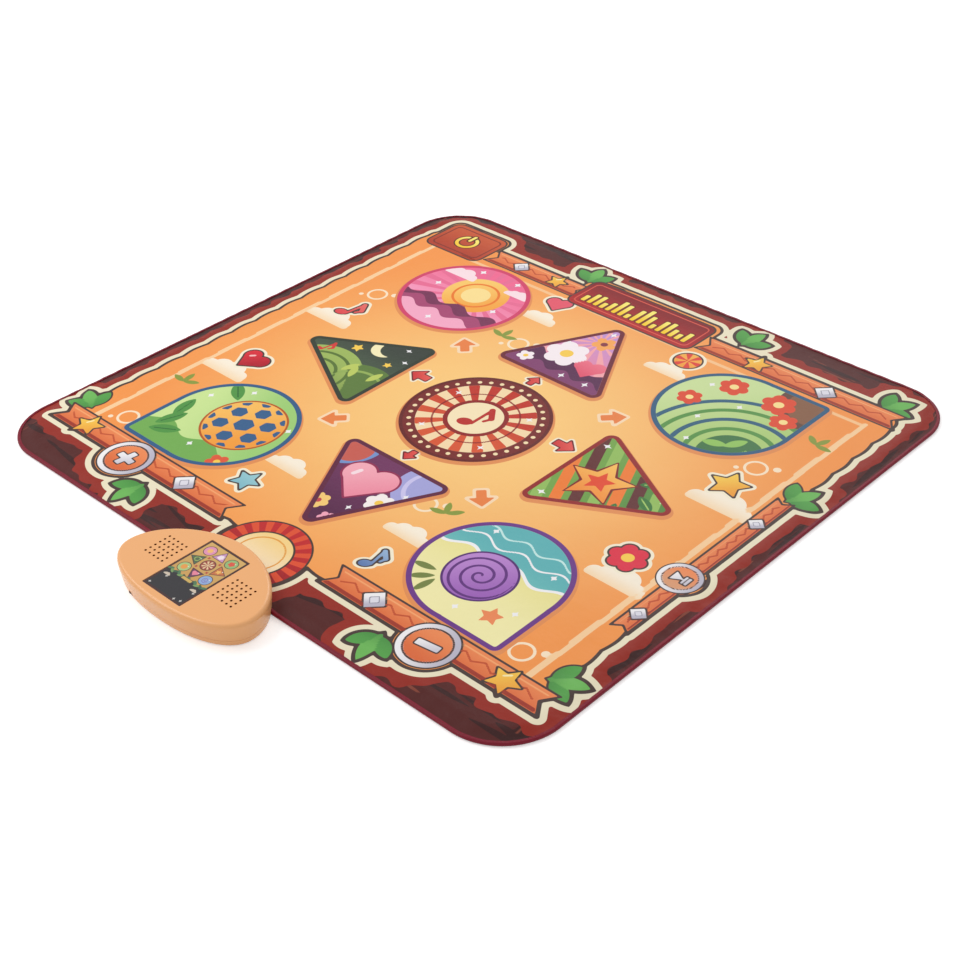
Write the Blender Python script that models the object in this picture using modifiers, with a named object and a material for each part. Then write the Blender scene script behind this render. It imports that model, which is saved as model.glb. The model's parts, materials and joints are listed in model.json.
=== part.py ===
"""Electronic dance mat: a folding floor mat with press zones, and a control console on its near edge.

Metres, +Z up. The origin is the middle of the mat's underside. +Y points from the console to the far
edge and +X to the right of someone who faces the mat over the console. The mat is cut into a near, a
middle and a far section at two fold lines along X, because each section stays rigid here.
"""
import math
from functools import partial

import bmesh
import bpy
from mathutils import Matrix, Vector

# Clearances
GAP = 0.0003
ZONE_CLEARANCE = 0.0005
EDGE_CLEARANCE = 0.0010
NOTCH_CLEARANCE = 0.0010

# Mat outline
MAT_W = 0.920
MAT_L = 0.872
CORNER_R = 0.080

# Sheets of the mat, from the floor up
BASE_T = 0.0008
FOAM_T = 0.0020
FILM_T = 0.0003
SPACER_T = 0.0014
COVER_T = 0.0008
FILM_MARGIN = 0.012

# Edge binding, a C-shaped tape round the sheets
BINDING_T = 0.0008
BINDING_W = 0.009
BINDING_R = 0.0025
BINDING_STEPS = 3

# Step zones, three rows of three; the outer ones fill what the borders and gaps leave of the mat
ZONE_T = 0.0013
CENTRE_R = 0.101
ROW_GAP = 0.024
SIDE_BORDER = 0.1245
END_BORDER = 0.115
TEARDROP_TIP_R = 0.010
TRIANGLE_HALF_BASE = 0.104
TRIANGLE_TIP_R = 0.012
SIDE_TRIANGLE_GAP = 0.054
SIDE_TRIANGLE_BORDER = 0.115
END_TRIANGLE_GAP = 0.033
END_TRIANGLE_BORDER = 0.112
FOLD_MARGIN = 0.007

# Function zones in the border, placed from the mat's edges
VOLUME_X = 0.272
VOLUME_EDGE = 0.076
VOLUME_R = 0.035
PLAY_EDGE = 0.056
PLAY_FOLD_GAP = 0.004
PLAY_R = 0.026
START_EDGE_X = 0.105
START_EDGE_Y = 0.084
START_W = 0.110
START_D = 0.082
START_TIP_R = 0.014

# Console outline: two half superellipses that meet at the widest line. The console's pieces and their
# cutters are made about X = 0 and then moved together to CONSOLE_X.
CONSOLE_HALF_W = 0.1118
CONSOLE_NEAR_DEPTH = 0.052
CONSOLE_FAR_DEPTH = 0.082
NEAR_POWER = 2.2
FAR_POWER = 1.85
CONSOLE_X = 0.0085
CONSOLE_ON_MAT = 0.042
CONSOLE_H = 0.031
WIDEST_Z = 0.0245
BOTTOM_INSET = 0.0030
BOTTOM_FILLET = 0.0027
TOP_FILLET = 0.005
WALL = 0.002
FLOOR_T = 0.002

# Tongue of the lower shell, which reaches under the mat's edge
TONGUE_HALF_W = 0.078
TONGUE_INSET = 0.004
TONGUE_LAP = 0.005

# Shell screws, in lands on the floor and bosses under the roof
SCREW_R = 0.00125
SCREW_HEAD_R = 0.0026
SCREW_HEAD_H = 0.0014
SCREW_L = 0.0120
LAND_R = 0.005
LAND_H = 0.0016
BOSS_R = 0.0035
NEAR_SCREW_X = 0.066
NEAR_SCREW_BACK = 0.026
FAR_SCREW_X = 0.050
FAR_SCREW_AHEAD = 0.0605
LAND_SLACK = 0.0010

# Display window and what lies under it
WINDOW_W = 0.0675
WINDOW_D = 0.1010
WINDOW_BACK = 0.0395
WINDOW_T = 0.0008
WINDOW_SINK = 0.0002
WINDOW_LEDGE = 0.003
WINDOW_TIP_R = 0.0012
DISPLAY_BOARD_T = 0.0012
DISPLAY_BOARD_INSET = 0.00125
SCORE_T = 0.0017
SCORE_W = 0.057
SCORE_D = 0.027
SCORE_BACK = 0.0055

# Speakers and their grilles
SPEAKER_X = 0.0615
SPEAKER_AHEAD = 0.0155
SPEAKER_R = 0.020
SPEAKER_H = 0.010
SPEAKER_RIM_T = 0.001
MAGNET_R = 0.012
MAGNET_H = 0.0045
BASKET_T = 0.001
BOWL_R = 0.0084
CONE_R = 0.0172
CONE_T = 0.0006
CONE_THROAT_R = 0.0048
DUST_CAP_H = 0.001
COLLAR_T = 0.0014
COLLAR_H = 0.0035
GRILLE_COLUMNS = 5
GRILLE_ROWS = 6
GRILLE_PITCH_X = 0.0077
GRILLE_PITCH_Y = 0.0070
GRILLE_HOLE_R = 0.0017

# Battery bay with three AA cells side by side
CELL_R = 0.00725
CELL_L = 0.0505
CELL_NUB_R = 0.0027
CELL_NUB_L = 0.001
CELL_SPACE = 0.0004
BAY_BACK = 0.003
BAY_END_ROOM = 0.00375
BAY_WALL = 0.0015
CONTACT_T = 0.0004
CONTACT_MARGIN = 0.001

# Battery door, on two tabs and one screw
DOOR_T = 0.0016
DOOR_LAP = 0.004
DOOR_RIM = 0.0035
DOOR_RING_H = 0.0045
TAB_X = 0.018
TAB_W = 0.008
TAB_L = 0.002
TAB_T = 0.0008
TAB_LEDGE_T = 0.0008
EAR_W = 0.010
EAR_L = 0.0085
EAR_T = 0.0026
DOOR_SCREW_R = 0.0011
DOOR_SCREW_HEAD_R = 0.0023
DOOR_SCREW_HEAD_H = 0.0012
DOOR_SCREW_L = 0.0072
DOOR_SCREW_SLACK = 0.0009
DOOR_SCREW_IN = 0.004

# Main board and the tail that comes up to it from the mat
MAIN_BOARD_W = 0.076
MAIN_BOARD_D = 0.029
MAIN_BOARD_T = 0.0016
MAIN_BOARD_Z = 0.012
MAIN_BOARD_AHEAD = 0.056
POST_R = 0.0018
POST_IN = 0.003
CHIP_W = 0.012
CHIP_T = 0.0014
CAPACITOR_R = 0.0025
CAPACITOR_H = 0.005
SOCKET_W = 0.026
SOCKET_D = 0.004
SOCKET_H = 0.0026
TAIL_W = 0.024
TAIL_T = 0.0003
TAIL_OUT = 0.0035
TAIL_BEND_R = 0.0015

# Slide switch in the near left of the side
SWITCH_LEFT = 0.058
SWITCH_TRAVEL = 0.003
KNOB_W = 0.003
KNOB_H = 0.0020
KNOB_PROUD = 0.0008
KNOB_Z = 0.0042
SLOT_SPARE = 0.002
SLOT_H = 0.0026
SWITCH_BODY_W = 0.012
SWITCH_BODY_D = 0.005
SWITCH_BODY_H = 0.0046

# Heights of the sheets, worked out from their thicknesses
FOAM_LOW = max(BASE_T, BINDING_T) + GAP
FILM_LOW = FOAM_LOW + FOAM_T + GAP
FILM_TOP = FILM_LOW + FILM_T
SPACER_LOW = FILM_TOP + GAP
COVER_LOW = SPACER_LOW + SPACER_T + GAP
COVER_TOP = COVER_LOW + COVER_T
BINDING_TOP = COVER_TOP + GAP + BINDING_T
ZONE_LOW = COVER_TOP - ZONE_T

# Places that more than one piece shares
SHEET_INSET = max(BINDING_R, BINDING_T) + GAP
BASE_INSET = BINDING_W + GAP
ROUND_R = (MAT_L / 2 - END_BORDER - ROW_GAP - CENTRE_R) / 2
PITCH_X = MAT_W / 2 - SIDE_BORDER - ROUND_R
PITCH_Y = CENTRE_R + ROW_GAP + ROUND_R
SIDE_BASE_X = CENTRE_R + SIDE_TRIANGLE_GAP
SIDE_TRIANGLE_H = MAT_W / 2 - SIDE_TRIANGLE_BORDER - SIDE_BASE_X
END_BASE_Y = CENTRE_R + END_TRIANGLE_GAP
END_TRIANGLE_H = MAT_L / 2 - END_TRIANGLE_BORDER - END_BASE_Y
FOLD_Y = CENTRE_R + ROW_GAP - FOLD_MARGIN
PLAY_Y = PLAY_FOLD_GAP + PLAY_R - FOLD_Y
NEAR_EDGE_Y = -MAT_L / 2
CONSOLE_Y = NEAR_EDGE_Y + CONSOLE_ON_MAT - CONSOLE_FAR_DEPTH
TRAY_END_Y = NEAR_EDGE_Y - EDGE_CLEARANCE
PARTING_Z = BINDING_TOP + GAP
ROOF_LOW = CONSOLE_H - WALL
LAND_TOP = FLOOR_T + LAND_H
WINDOW_Y = CONSOLE_Y - WINDOW_BACK + WINDOW_D / 2
WINDOW_LOW = CONSOLE_H - WINDOW_SINK - WINDOW_T
SPEAKER_Y = CONSOLE_Y + SPEAKER_AHEAD
BAY_Y = CONSOLE_Y - BAY_BACK
DOOR_LOW = GAP
BAY_LOW = DOOR_LOW + DOOR_T + GAP
BAY_TOP = BAY_LOW + 2 * CELL_R + GAP
BAY_HALF_X = CELL_L / 2 + BAY_END_ROOM
BAY_HALF_Y = 3 * CELL_R + CELL_SPACE + GAP
DOOR_HALF_X = BAY_HALF_X + DOOR_LAP
DOOR_HALF_Y = BAY_HALF_Y + DOOR_LAP
DOOR_HINGE_Y = BAY_Y + DOOR_HALF_Y
EAR_END_Y = BAY_Y - DOOR_HALF_Y - EAR_L
DOOR_SCREW_Y = EAR_END_Y + DOOR_SCREW_IN
MAIN_BOARD_Y = CONSOLE_Y + MAIN_BOARD_AHEAD
MAIN_BOARD_TOP = MAIN_BOARD_Z + MAIN_BOARD_T
SCREW_SPOTS = [
    (-NEAR_SCREW_X, CONSOLE_Y - NEAR_SCREW_BACK),
    (NEAR_SCREW_X, CONSOLE_Y - NEAR_SCREW_BACK),
    (-FAR_SCREW_X, CONSOLE_Y + FAR_SCREW_AHEAD),
    (FAR_SCREW_X, CONSOLE_Y + FAR_SCREW_AHEAD),
]
FAR_SCREW_SPOTS = SCREW_SPOTS[2:]

# How finely round shapes are divided, and how far a cutter runs past what it cuts
DISC_SIDES = 28
CORNER_STEPS = 8
TIP_STEPS = 4
CONSOLE_SIDES = 80
FILLET_STEPS = 4
ROD_SIDES = 12
CELL_SIDES = 16
SPEAKER_SIDES = 24
HOLE_SIDES = 6
OVERCUT = 0.001

for old in list(bpy.data.objects):
    bpy.data.objects.remove(old, do_unlink=True)


def new_collection(name):
    collection = bpy.data.collections.new(name)
    bpy.context.scene.collection.children.link(collection)
    return collection


PARTS = new_collection("dance_mat")
CUTTERS = new_collection("cutters")


def finish(name, colour, roughness, metallic=0.0):
    """A Principled material with the piece's colour."""
    material = bpy.data.materials.new(name)
    material.use_nodes = True
    shader = material.node_tree.nodes["Principled BSDF"]
    shader.inputs["Base Color"].default_value = (*colour, 1.0)
    shader.inputs["Roughness"].default_value = roughness
    shader.inputs["Metallic"].default_value = metallic
    return material


def place(name, mesh, material=None, location=(0, 0, 0)):
    """Links a mesh as a part, or as a cutter where it has no material."""
    item = bpy.data.objects.new(name, mesh)
    item.location = location
    if material is None:
        CUTTERS.objects.link(item)
        item.hide_render = True
        item.display_type = "WIRE"
        return item
    mesh.materials.append(material)
    PARTS.objects.link(item)
    return item


def smooth(item, angle=40):
    item.data.shade_smooth()
    item.data.set_sharp_from_angle(angle=math.radians(angle))


def boolean(item, operation, tool):
    modifier = item.modifiers.new(tool.name, "BOOLEAN")
    modifier.operation = operation
    modifier.solver = "EXACT"
    modifier.object = tool


def bevel(item, width, segments, angle=40):
    modifier = item.modifiers.new("rounded edges", "BEVEL")
    modifier.width = width
    modifier.segments = segments
    modifier.limit_method = "ANGLE"
    modifier.angle_limit = math.radians(angle)


def finished_mesh(name, shape):
    mesh = bpy.data.meshes.new(name)
    bmesh.ops.recalc_face_normals(shape, faces=shape.faces)
    shape.to_mesh(mesh)
    shape.free()
    return mesh


# Outlines in plan, as lists of points, counterclockwise

def rounded(corners, radius, grow=0.0, steps=TIP_STEPS):
    """A convex outline whose corners are arcs; grow moves the whole outline outward."""
    loop = []
    befores = corners[-1:] + corners[:-1]
    afters = corners[1:] + corners[:1]
    for before, corner, after in zip(befores, corners, afters):
        incoming = (Vector(corner) - Vector(before)).normalized()
        outgoing = (Vector(after) - Vector(corner)).normalized()
        turn = incoming.angle(outgoing)
        middle = Vector(corner) + (outgoing - incoming).normalized() * radius / math.cos(turn / 2)
        start = math.atan2(-incoming.x, incoming.y)
        for step in range(steps + 1):
            angle = start + turn * step / steps
            loop.append(middle + (radius + grow) * Vector((math.cos(angle), math.sin(angle))))
    return loop


def rectangle(width, depth, radius, grow=0.0, steps=TIP_STEPS):
    half_x = width / 2
    half_y = depth / 2
    corners = [(-half_x, -half_y), (half_x, -half_y), (half_x, half_y), (-half_x, half_y)]
    return rounded(corners, radius, grow, steps)


def disc(radius, grow=0.0):
    turns = [2 * math.pi * k / DISC_SIDES for k in range(DISC_SIDES)]
    return [(radius + grow) * Vector((math.cos(turn), math.sin(turn))) for turn in turns]


def teardrop(radius, tip_radius, side_x, side_y, grow=0.0):
    """Three quarters of a circle, and a square corner towards side_x, side_y."""
    loop = []
    arc_steps = DISC_SIDES * 3 // 4
    for k in range(arc_steps + 1):
        turn = math.pi / 2 + 1.5 * math.pi * k / arc_steps
        loop.append((radius + grow) * Vector((math.cos(turn), math.sin(turn))))
    tip = radius - tip_radius
    for k in range(TIP_STEPS + 1):
        turn = math.pi / 2 * k / TIP_STEPS
        loop.append(Vector((tip, tip)) + (tip_radius + grow) * Vector((math.cos(turn), math.sin(turn))))
    return [Vector((point.x * side_x, point.y * side_y)) for point in loop]


def triangle(height, half_base, tip_radius, turn, grow=0.0):
    """A triangle whose base is centred on the origin and whose tip points along turn."""
    rotation = Matrix.Rotation(turn, 2)
    corners = [rotation @ Vector(corner) for corner in ((0, -half_base), (height, 0), (0, half_base))]
    return rounded(corners, tip_radius, grow)


def cut_outline(loop, axis, limit, side):
    """The part of an outline whose coordinate lies beyond limit, on that side of it."""
    kept = []
    for here, there in zip(loop, loop[1:] + loop[:1]):
        here_in = side * (here[axis] - limit) >= 0
        there_in = side * (there[axis] - limit) >= 0
        if here_in:
            kept.append(Vector(here))
        if here_in != there_in:
            share = (limit - here[axis]) / (there[axis] - here[axis])
            kept.append(Vector(here).lerp(Vector(there), share))
    return kept


def mat_outline(inset=0.0):
    return rectangle(MAT_W, MAT_L, CORNER_R, -inset, CORNER_STEPS)


def console_rim(turn):
    """A point of the widest outline, about the console's own middle."""
    x = math.cos(turn)
    y = math.sin(turn)
    depth = CONSOLE_FAR_DEPTH if y > 0 else CONSOLE_NEAR_DEPTH
    power = 2 / (FAR_POWER if y > 0 else NEAR_POWER)
    rim_x = CONSOLE_HALF_W * math.copysign(abs(x) ** power, x)
    return Vector((rim_x, depth * math.copysign(abs(y) ** power, y)))


def console_outline(inset=0.0):
    """The console's outline, moved inward by inset along its own normals."""
    loop = []
    step = math.pi / CONSOLE_SIDES / 4
    for k in range(CONSOLE_SIDES):
        turn = 2 * math.pi * (k + 0.5) / CONSOLE_SIDES
        along = console_rim(turn + step) - console_rim(turn - step)
        outward = Vector((along.y, -along.x)).normalized()
        loop.append(console_rim(turn) - inset * outward + Vector((0, CONSOLE_Y)))
    return loop


def near_rim(x):
    """The widest outline's y, and its slope, on the console's near side."""
    share = abs(x) / CONSOLE_HALF_W
    left = 1 - share ** NEAR_POWER
    depth = CONSOLE_NEAR_DEPTH * left ** (1 / NEAR_POWER)
    slope = depth / left * share ** (NEAR_POWER - 1) / CONSOLE_HALF_W
    return CONSOLE_Y - depth, math.copysign(slope, x)


# Solids

def plate_mesh(name, loops, thickness):
    """Outlines, holes among them, filled as a 2D curve of that thickness and made a mesh."""
    curve = bpy.data.curves.new(name, "CURVE")
    curve.dimensions = "2D"
    curve.fill_mode = "BOTH"
    curve.extrude = thickness / 2
    for loop in loops:
        spline = curve.splines.new("POLY")
        spline.points.add(len(loop) - 1)
        for point, spot in zip(spline.points, loop):
            point.co = (spot[0], spot[1], 0, 1)
        spline.use_cyclic_u = True
    source = bpy.data.objects.new(name, curve)
    bpy.context.scene.collection.objects.link(source)
    depsgraph = bpy.context.evaluated_depsgraph_get()
    filled = bpy.data.meshes.new_from_object(source.evaluated_get(depsgraph))
    bpy.data.objects.remove(source)
    shape = bmesh.new()
    shape.from_mesh(filled)
    bmesh.ops.remove_doubles(shape, verts=shape.verts, dist=0.000002)
    return finished_mesh(name, shape)


def plate(name, loops, low, high, material=None, spot=(0, 0)):
    mesh = plate_mesh(name, loops, high - low)
    return place(name, mesh, material, (spot[0], spot[1], (low + high) / 2))


def boxes(name, spans, material=None, location=(0, 0, 0)):
    """Boxes, each given by its low and high corner, as one mesh."""
    shape = bmesh.new()
    for low, high in spans:
        size = Vector(high) - Vector(low)
        middle = (Vector(high) + Vector(low)) / 2
        scale = Matrix.Diagonal((*size, 1))
        bmesh.ops.create_cube(shape, size=1, matrix=Matrix.Translation(middle) @ scale)
    return place(name, finished_mesh(name, shape), material, location)


def rods(name, spots, radius, low, high, sides=ROD_SIDES, material=None):
    """Upright cylinders at several spots, as one mesh."""
    shape = bmesh.new()
    for x, y in spots:
        middle = Matrix.Translation((x, y, (low + high) / 2))
        bmesh.ops.create_cone(
            shape,
            cap_ends=True,
            segments=sides,
            radius1=radius,
            radius2=radius,
            depth=high - low,
            matrix=middle,
        )
    return place(name, finished_mesh(name, shape), material)


def turned(name, profile, sides, material=None, location=(0, 0, 0)):
    """A profile of radius and height, outside first and top to bottom, turned about Z."""
    shape = bmesh.new()
    points = [shape.verts.new((radius, 0, height)) for radius, height in profile]
    pairs = list(zip(points, points[1:]))
    if profile[0][0] > 0:
        pairs.append((points[-1], points[0]))
    for pair in pairs:
        shape.edges.new(pair)
    mesh = bpy.data.meshes.new(name)
    shape.to_mesh(mesh)
    shape.free()
    item = place(name, mesh, material, location)
    screw = item.modifiers.new("turned", "SCREW")
    screw.steps = sides
    screw.render_steps = sides
    screw.use_merge_vertices = True
    screw.merge_threshold = 0.00001
    screw.use_smooth_shade = True
    return item


def loft(name, rings, material=None):
    """Closed rings of points bridged from the first to the last, with both ends filled."""
    shape = bmesh.new()
    edge_loops = []
    for ring in rings:
        points = [shape.verts.new(point) for point in ring]
        edge_loops.append([shape.edges.new(pair) for pair in zip(points, points[1:] + points[:1])])
    for lower, upper in zip(edge_loops, edge_loops[1:]):
        bmesh.ops.bridge_loops(shape, edges=lower + upper)
    for end in (edge_loops[0], edge_loops[-1]):
        bmesh.ops.contextual_create(shape, geom=end)
    return place(name, finished_mesh(name, shape), material)


def hang(item, pivot):
    """Parents a piece to a pivot without moving it."""
    item.parent = pivot
    item.matrix_parent_inverse = Matrix.Translation(-Vector(pivot.location))


def pivot_at(name, location):
    pivot = bpy.data.objects.new(name, None)
    pivot.location = location
    PARTS.objects.link(pivot)
    return pivot


# Mat

def step_zones():
    """Name, section, outline and middle of the nine step zones."""
    zones = [
        ("step_far_left", "far", partial(disc, ROUND_R), (-PITCH_X, PITCH_Y)),
        ("step_far_right", "far", partial(teardrop, ROUND_R, TEARDROP_TIP_R, 1, 1), (PITCH_X, PITCH_Y)),
        ("step_near_left", "near", partial(teardrop, ROUND_R, TEARDROP_TIP_R, -1, -1), (-PITCH_X, -PITCH_Y)),
        ("step_near_right", "near", partial(teardrop, ROUND_R, TEARDROP_TIP_R, 1, -1), (PITCH_X, -PITCH_Y)),
        ("step_centre", "middle", partial(disc, CENTRE_R), (0, 0)),
    ]
    triangles = [
        ("step_middle_right", "middle", SIDE_TRIANGLE_H, 0, (SIDE_BASE_X, 0)),
        ("step_far_middle", "far", END_TRIANGLE_H, 90, (0, END_BASE_Y)),
        ("step_middle_left", "middle", SIDE_TRIANGLE_H, 180, (-SIDE_BASE_X, 0)),
        ("step_near_middle", "near", END_TRIANGLE_H, 270, (0, -END_BASE_Y)),
    ]
    for name, section, height, degrees, spot in triangles:
        shape = partial(triangle, height, TRIANGLE_HALF_BASE, TRIANGLE_TIP_R, math.radians(degrees))
        zones.append((name, section, shape, spot))
    return zones


def function_zones():
    """The same for the plus, minus, play and start zones."""
    volume_y = NEAR_EDGE_Y + VOLUME_EDGE
    start_spot = (-MAT_W / 2 + START_EDGE_X, MAT_L / 2 - START_EDGE_Y)
    return [
        ("plus_zone", "near", partial(disc, VOLUME_R), (-VOLUME_X, volume_y)),
        ("minus_zone", "near", partial(disc, VOLUME_R), (VOLUME_X, volume_y)),
        ("play_zone", "middle", partial(disc, PLAY_R), (MAT_W / 2 - PLAY_EDGE, PLAY_Y)),
        ("start_zone", "far", partial(rectangle, START_W, START_D, START_TIP_R), start_spot),
    ]


ZONES = step_zones() + function_zones()
ZONE_COLOURS = {
    "step_far_left": (0.78, 0.20, 0.35),
    "step_far_middle": (0.75, 0.32, 0.42),
    "step_far_right": (0.20, 0.42, 0.16),
    "step_middle_left": (0.16, 0.30, 0.08),
    "step_centre": (0.45, 0.08, 0.03),
    "step_middle_right": (0.65, 0.14, 0.02),
    "step_near_left": (0.85, 0.38, 0.06),
    "step_near_middle": (0.75, 0.30, 0.40),
    "step_near_right": (0.30, 0.12, 0.45),
    "plus_zone": (0.55, 0.15, 0.04),
    "minus_zone": (0.55, 0.15, 0.04),
    "play_zone": (0.80, 0.75, 0.65),
    "start_zone": (0.50, 0.12, 0.03),
}
SECTIONS = {
    "near": (-MAT_L, -FOLD_Y - GAP / 2),
    "middle": (-FOLD_Y + GAP / 2, FOLD_Y - GAP / 2),
    "far": (FOLD_Y + GAP / 2, MAT_L),
}


def section_outline(section, inset):
    low, high = SECTIONS[section]
    return cut_outline(cut_outline(mat_outline(inset), 1, low, 1), 1, high, -1)


def zone_holes(section, clearance):
    holes = []
    for name, owner, shape, spot in ZONES:
        if owner == section:
            holes.append([Vector(spot) + point for point in shape(grow=clearance)])
    return holes


def land_holes(section):
    """Round holes where the console's far screw lands pass through the mat's edge."""
    if section != "near":
        return []
    middles = [Vector(spot) + Vector((CONSOLE_X, 0)) for spot in FAR_SCREW_SPOTS]
    return [[middle + point for point in disc(LAND_R + LAND_SLACK)] for middle in middles]


def tongue_outline(grow=0.0):
    """The console's outline under the mat, from inside the tray to the tongue's far end."""
    loop = console_outline(TONGUE_INSET - grow)
    loop = cut_outline(loop, 1, TRAY_END_Y - TONGUE_LAP, 1)
    loop = cut_outline(loop, 0, -TONGUE_HALF_W - grow, 1)
    return cut_outline(loop, 0, TONGUE_HALF_W + grow, -1)


def sheets():
    """The five flat layers of each section, by node name."""
    fabric = finish("base_fabric", (0.05, 0.05, 0.055), 0.95)
    foam = finish("foam", (0.85, 0.85, 0.82), 0.9)
    film = finish("circuit_film", (0.70, 0.74, 0.76), 0.3)
    spacer = finish("spacer", (0.80, 0.80, 0.84), 0.85)
    cover = finish("printed_cover", (0.90, 0.44, 0.15), 0.3)
    notch_top = FILM_LOW - GAP / 2
    loop = tongue_outline(NOTCH_CLEARANCE)
    notch = plate("tongue_notch", [loop], -OVERCUT, notch_top, None, (CONSOLE_X, 0))
    made = {}
    for section in SECTIONS:
        zones = zone_holes(section, ZONE_CLEARANCE)
        lands = land_holes(section)
        layers = [
            ("base_fabric", 0, BASE_T, BASE_INSET, [], fabric),
            ("foam_pad", FOAM_LOW, FOAM_LOW + FOAM_T, SHEET_INSET, [], foam),
            ("circuit_film", FILM_LOW, FILM_TOP, FILM_MARGIN, lands, film),
            ("spacer_sheet", SPACER_LOW, SPACER_LOW + SPACER_T, SHEET_INSET, zones + lands, spacer),
            ("cover_sheet", COVER_LOW, COVER_TOP, SHEET_INSET, zones + lands, cover),
        ]
        for layer, low, high, inset, holes, material in layers:
            name = section + "_" + layer
            made[name] = plate(name, [section_outline(section, inset)] + holes, low, high, material)
    boolean(made["near_base_fabric"], "DIFFERENCE", notch)
    boolean(made["near_foam_pad"], "DIFFERENCE", notch)
    return made


def press_zones():
    """The pieces of the cover that move down when they are stepped on, flush with it at rest."""
    made = {}
    for name, section, shape, spot in ZONES:
        material = finish(name, ZONE_COLOURS[name], 0.3)
        made[name] = plate(name, [shape()], ZONE_LOW, COVER_TOP, material, spot)
    return made


def binding():
    """The C-shaped edge tape in five runs: it is open between them, and under the console."""
    tape = finish("binding", (0.16, 0.008, 0.026), 0.55)
    channel = plate("binding_channel", [mat_outline(BINDING_T)], BINDING_T, BINDING_TOP - BINDING_T)
    bevel(channel, BINDING_R - BINDING_T, BINDING_STEPS)
    opening = plate("binding_opening", [mat_outline(BINDING_W)], -OVERCUT, BINDING_TOP + OVERCUT)
    inner_x = TONGUE_HALF_W + EDGE_CLEARANCE + NOTCH_CLEARANCE
    runs = {
        "near_left_binding": ("near", -MAT_W, CONSOLE_X - inner_x),
        "near_right_binding": ("near", CONSOLE_X + inner_x, MAT_W),
        "middle_left_binding": ("middle", -MAT_W, 0),
        "middle_right_binding": ("middle", 0, MAT_W),
        "far_binding": ("far", -MAT_W, MAT_W),
    }
    made = {}
    for name, (section, low_x, high_x) in runs.items():
        low_y, high_y = SECTIONS[section]
        reach = boxes(name + "_reach", [((low_x, low_y, -OVERCUT), (high_x, high_y, BINDING_TOP + OVERCUT))])
        item = plate(name, [mat_outline()], 0, BINDING_TOP, tape)
        bevel(item, BINDING_R, BINDING_STEPS)
        boolean(item, "DIFFERENCE", channel)
        boolean(item, "DIFFERENCE", opening)
        boolean(item, "INTERSECT", reach)
        made[name] = item
    return made


# Console

def side_inset(height):
    """How far the console's side stands in from its widest outline at this height."""
    return BOTTOM_INSET * max(0.0, 1 - height / WIDEST_Z)


def console_ring(inset, height):
    return [(point.x, point.y, height) for point in console_outline(inset)]


def crown_rings(offset):
    """Rings from the widest line up over the top fillet, all moved inward by offset."""
    radius = TOP_FILLET - offset
    rings = [console_ring(offset, WIDEST_Z)]
    for step in range(FILLET_STEPS + 1):
        angle = math.pi / 2 * step / FILLET_STEPS
        inset = offset + radius * (1 - math.cos(angle))
        rings.append(console_ring(inset, CONSOLE_H - TOP_FILLET + radius * math.sin(angle)))
    return rings


def foot_rings():
    """Rings from the flat underside up round the bottom fillet, to where the straight side begins."""
    rings = []
    for step in range(FILLET_STEPS):
        angle = math.pi / 2 * step / (FILLET_STEPS - 1)
        inset = side_inset(BOTTOM_FILLET) + BOTTOM_FILLET * (1 - math.sin(angle))
        rings.append(console_ring(inset, BOTTOM_FILLET * (1 - math.cos(angle))))
    return rings


def grille_spots():
    spots = []
    for side in (-1, 1):
        for column in range(GRILLE_COLUMNS):
            for row in range(GRILLE_ROWS):
                x = side * SPEAKER_X + (column - (GRILLE_COLUMNS - 1) / 2) * GRILLE_PITCH_X
                y = SPEAKER_Y + (row - (GRILLE_ROWS - 1) / 2) * GRILLE_PITCH_Y
                spots.append((x, y))
    return spots


def post_spots():
    half_x = MAIN_BOARD_W / 2 - POST_IN
    half_y = MAIN_BOARD_D / 2 - POST_IN
    return [(sx * half_x, MAIN_BOARD_Y + sy * half_y) for sx in (-1, 1) for sy in (-1, 1)]


def window_loop(grow):
    return rectangle(WINDOW_W, WINDOW_D, WINDOW_TIP_R, grow)


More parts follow.
